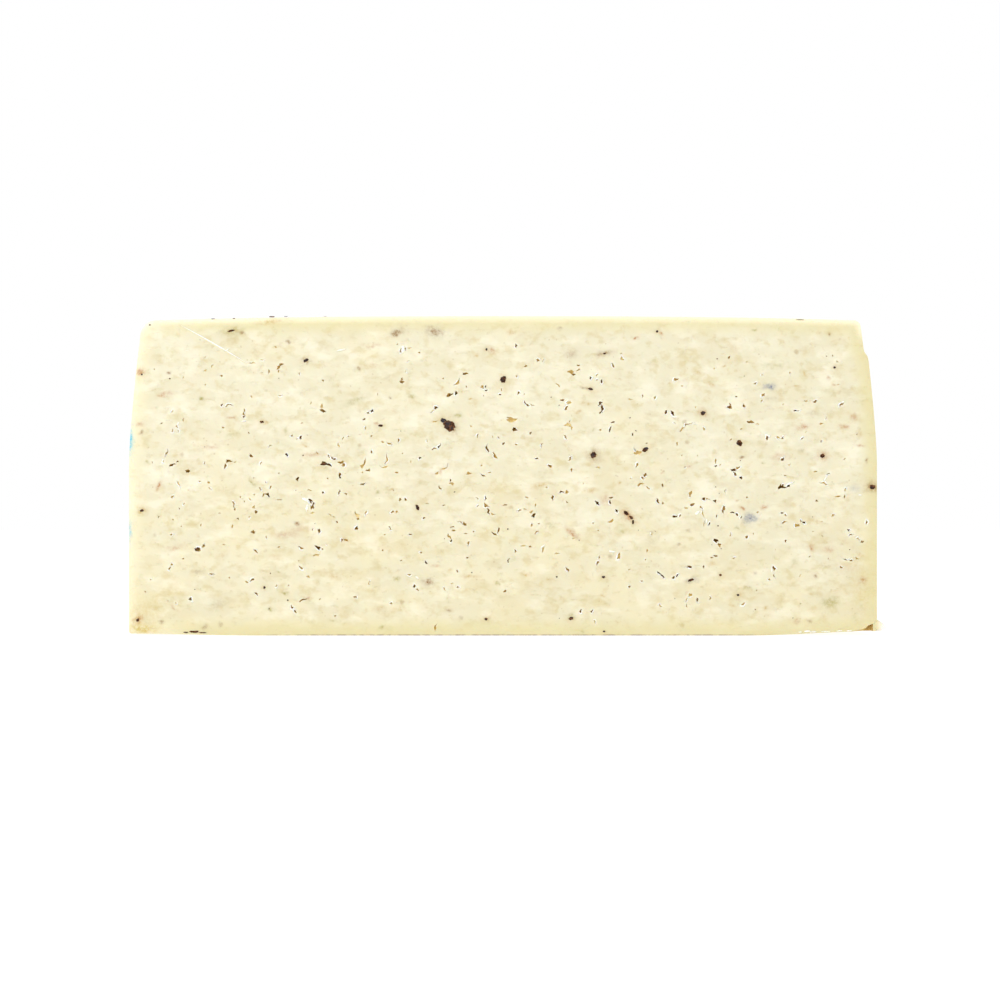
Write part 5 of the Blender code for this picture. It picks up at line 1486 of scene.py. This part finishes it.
# %% The flap at the lower right corner
FLAP_ROOT, FLAP_TOP, FLAP_TIP_TOP, FLAP_FOOT = 119.0 * MM, 5.2 * MM, 2.9 * MM, 1.4 * MM
FLAP_REACH, FLAP_FRONT, FLAP_STEPS = 8.5 * MM, 0.12 * MM, 14
FLAP_YELLOW = (0.74, 0.65, 0.37, 1.0)


def build_flap(material):
    tree, shader = start(material)
    place = millimetres(tree)
    outwards = axes(tree, place)[0]
    tip = (AXIS_X + FLAP_TIP) / MM
    fine = noise_at(tree, place, 1.1, 4.0, 0.6)
    paleness = maths(tree, "MULTIPLY_ADD", fine, 1.6, outwards)
    colour = mixed(tree, between(tree, paleness, tip - 2.6, tip + 0.4), FLAP_YELLOW, TORN_WHITE)
    tree.links.new(colour, shader.inputs["Base Color"])
    tree.links.new(bump(tree, fine, 0.12 * MM), shader.inputs["Normal"])
    shader.inputs["Roughness"].default_value = 0.5
    soften(shader, 0.35, 1.4 * MM)


flap_paste = bpy.data.materials.new("flap_paste")
build_flap(flap_paste)
mesh = bmesh.new()
sections = []
for step in range(FLAP_STEPS + 1):
    share = step / FLAP_STEPS
    x = FLAP_ROOT + (FLAP_TIP - FLAP_ROOT) * share
    top = FLAP_TOP + (FLAP_TIP_TOP - FLAP_TOP) * share**2.2
    thick = (top - FLAP_FOOT) * (1 - 0.45 * share**8)
    reach = FLAP_REACH * (1 - 0.75 * share**2)
    near = FLAP_FRONT + 0.7 * MM * share**2 + 0.15 * MM * noise.noise(Vector((step * 0.9, 0.0, 0.0)))
    ring = []
    for y, z in ((near, top - thick * 0.8), (near - 0.1 * MM, top - thick / 2), (near, top - thick * 0.15),
                 (near + reach * 0.3, top), (near + reach, top - thick * 0.4),
                 (near + reach, top - thick * 0.7), (near + reach * 0.4, top - thick)):
        ring.append(in_frame(x, max(0.0, y), z + 0.08 * MM * noise.noise(Vector((step, y * 900, 2.0)))))
    sections.append(ring)
prism(mesh, sections)
bmesh.ops.recalc_face_normals(mesh, faces=mesh.faces)
flap = object_from(mesh, "rind_flap", [flap_paste])
print("flap:", len(flap.data.polygons), "faces")

# %% [markdown]
# ## Handing the pieces to the frame
#
# Every piece rides on the one body and is shaded smooth except where the surface really turns a
# corner. The half wheel stands in for the imported solid.

# %% Smooth the pieces and attach them to the body
SHARP_TURN = math.radians(38)
for piece in (body, truffle_pieces, torn_lips, flap):
    piece.data.shade_smooth()
    piece.data.set_sharp_from_angle(angle=SHARP_TURN)
    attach(piece, "root")
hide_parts("cheese")

# %% [markdown]
# ## Light, floor and camera
#
# The photograph is a cut-out on pure white, lit softly from above and a little from the left. A white
# world gives even light and the white ground; one large lamp adds direction, so that lips shine and
# holes shade. The floor is a pale grey that glows a little: the ground stays white, and the shadow at
# the foot stays as faint as in the photograph. The camera is level, square on to the cut, and as far away
# as the scale of the face asks.

# %% Studio
WHITE = (1.0, 1.0, 1.0, 1.0)
FLOOR_GREYS = (0.25, 0.25, 0.25, 1.0), (0.28, 0.28, 0.28, 1.0)
FLOOR_GLOW, FLOOR_HALF_WIDTH = 0.80, 3.0
KEY_FROM_MIDDLE, KEY_SIZE, KEY_WATTS = Vector((-0.55, -0.75, 0.80)), 0.35, 5.0
scene = bpy.context.scene
scene.view_settings.view_transform = "Standard"
world = bpy.data.worlds.new("white_studio")
scene.world = world
world.use_nodes = True
world.node_tree.nodes["Background"].inputs["Color"].default_value = WHITE
world.node_tree.nodes["Background"].inputs["Strength"].default_value = 1.0


def lamp(name, place, aim, size, power):
    data = bpy.data.lights.new(name, "AREA")
    data.shape, data.size, data.energy = "DISK", size, power
    obj = bpy.data.objects.new(name, data)
    obj.location = place
    obj.rotation_euler = (aim - place).to_track_quat("-Z", "Y").to_euler()
    scene.collection.objects.link(obj)


middle = in_frame(0.0, 0.0, HEIGHT / 2)
lamp("key", middle + KEY_FROM_MIDDLE, middle, KEY_SIZE, KEY_WATTS)

mesh = bmesh.new()
bmesh.ops.create_grid(mesh, x_segments=8, y_segments=8, size=FLOOR_HALF_WIDTH)
floor_material = bpy.data.materials.new("pale_floor")
floor = object_from(mesh, "floor", [floor_material])
tree, shader = start(floor_material)
tint = noise_at(tree, millimetres(tree), 0.01, 2.0)
tree.links.new(mixed(tree, tint, *FLOOR_GREYS), shader.inputs["Base Color"])
shader.inputs["Roughness"].default_value = 0.9
shader.inputs["Emission Color"].default_value = WHITE
shader.inputs["Emission Strength"].default_value = FLOOR_GLOW
floor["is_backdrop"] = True

LENS, SENSOR, PICTURE = 100.0, 36.0, 1000
distance = PIXEL * PICTURE * LENS / SENSOR
eye_x, eye_z = on_face(PICTURE / 2, PICTURE / 2)
camera_data = bpy.data.cameras.new("camera")
camera_data.lens, camera_data.sensor_width = LENS, SENSOR
camera_data.clip_start, camera_data.clip_end = 0.01, 20.0
camera = bpy.data.objects.new("camera", camera_data)
camera.location = in_frame(eye_x, -distance, eye_z)
camera.rotation_euler = (math.pi / 2, 0.0, 0.0)
scene.collection.objects.link(camera)
scene.camera = camera
print(f"camera {distance:.3f} m from the cut, {eye_z / MM:.1f} mm above the floor")

# %% [markdown]
# The last step sets the box of everything shown against that of the imported solid, and prints how far
# it grows past it. If a piece has grown past the solid, it shows here as a number and not only as a guess
# by eye.

# %% Compare the two boxes and finish
shown_low, shown_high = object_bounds()
grown = (*(solid_low - shown_low), *(shown_high - solid_high))
print("grown beyond the solid, mm:", [round(side / MM, 2) for side in grown])
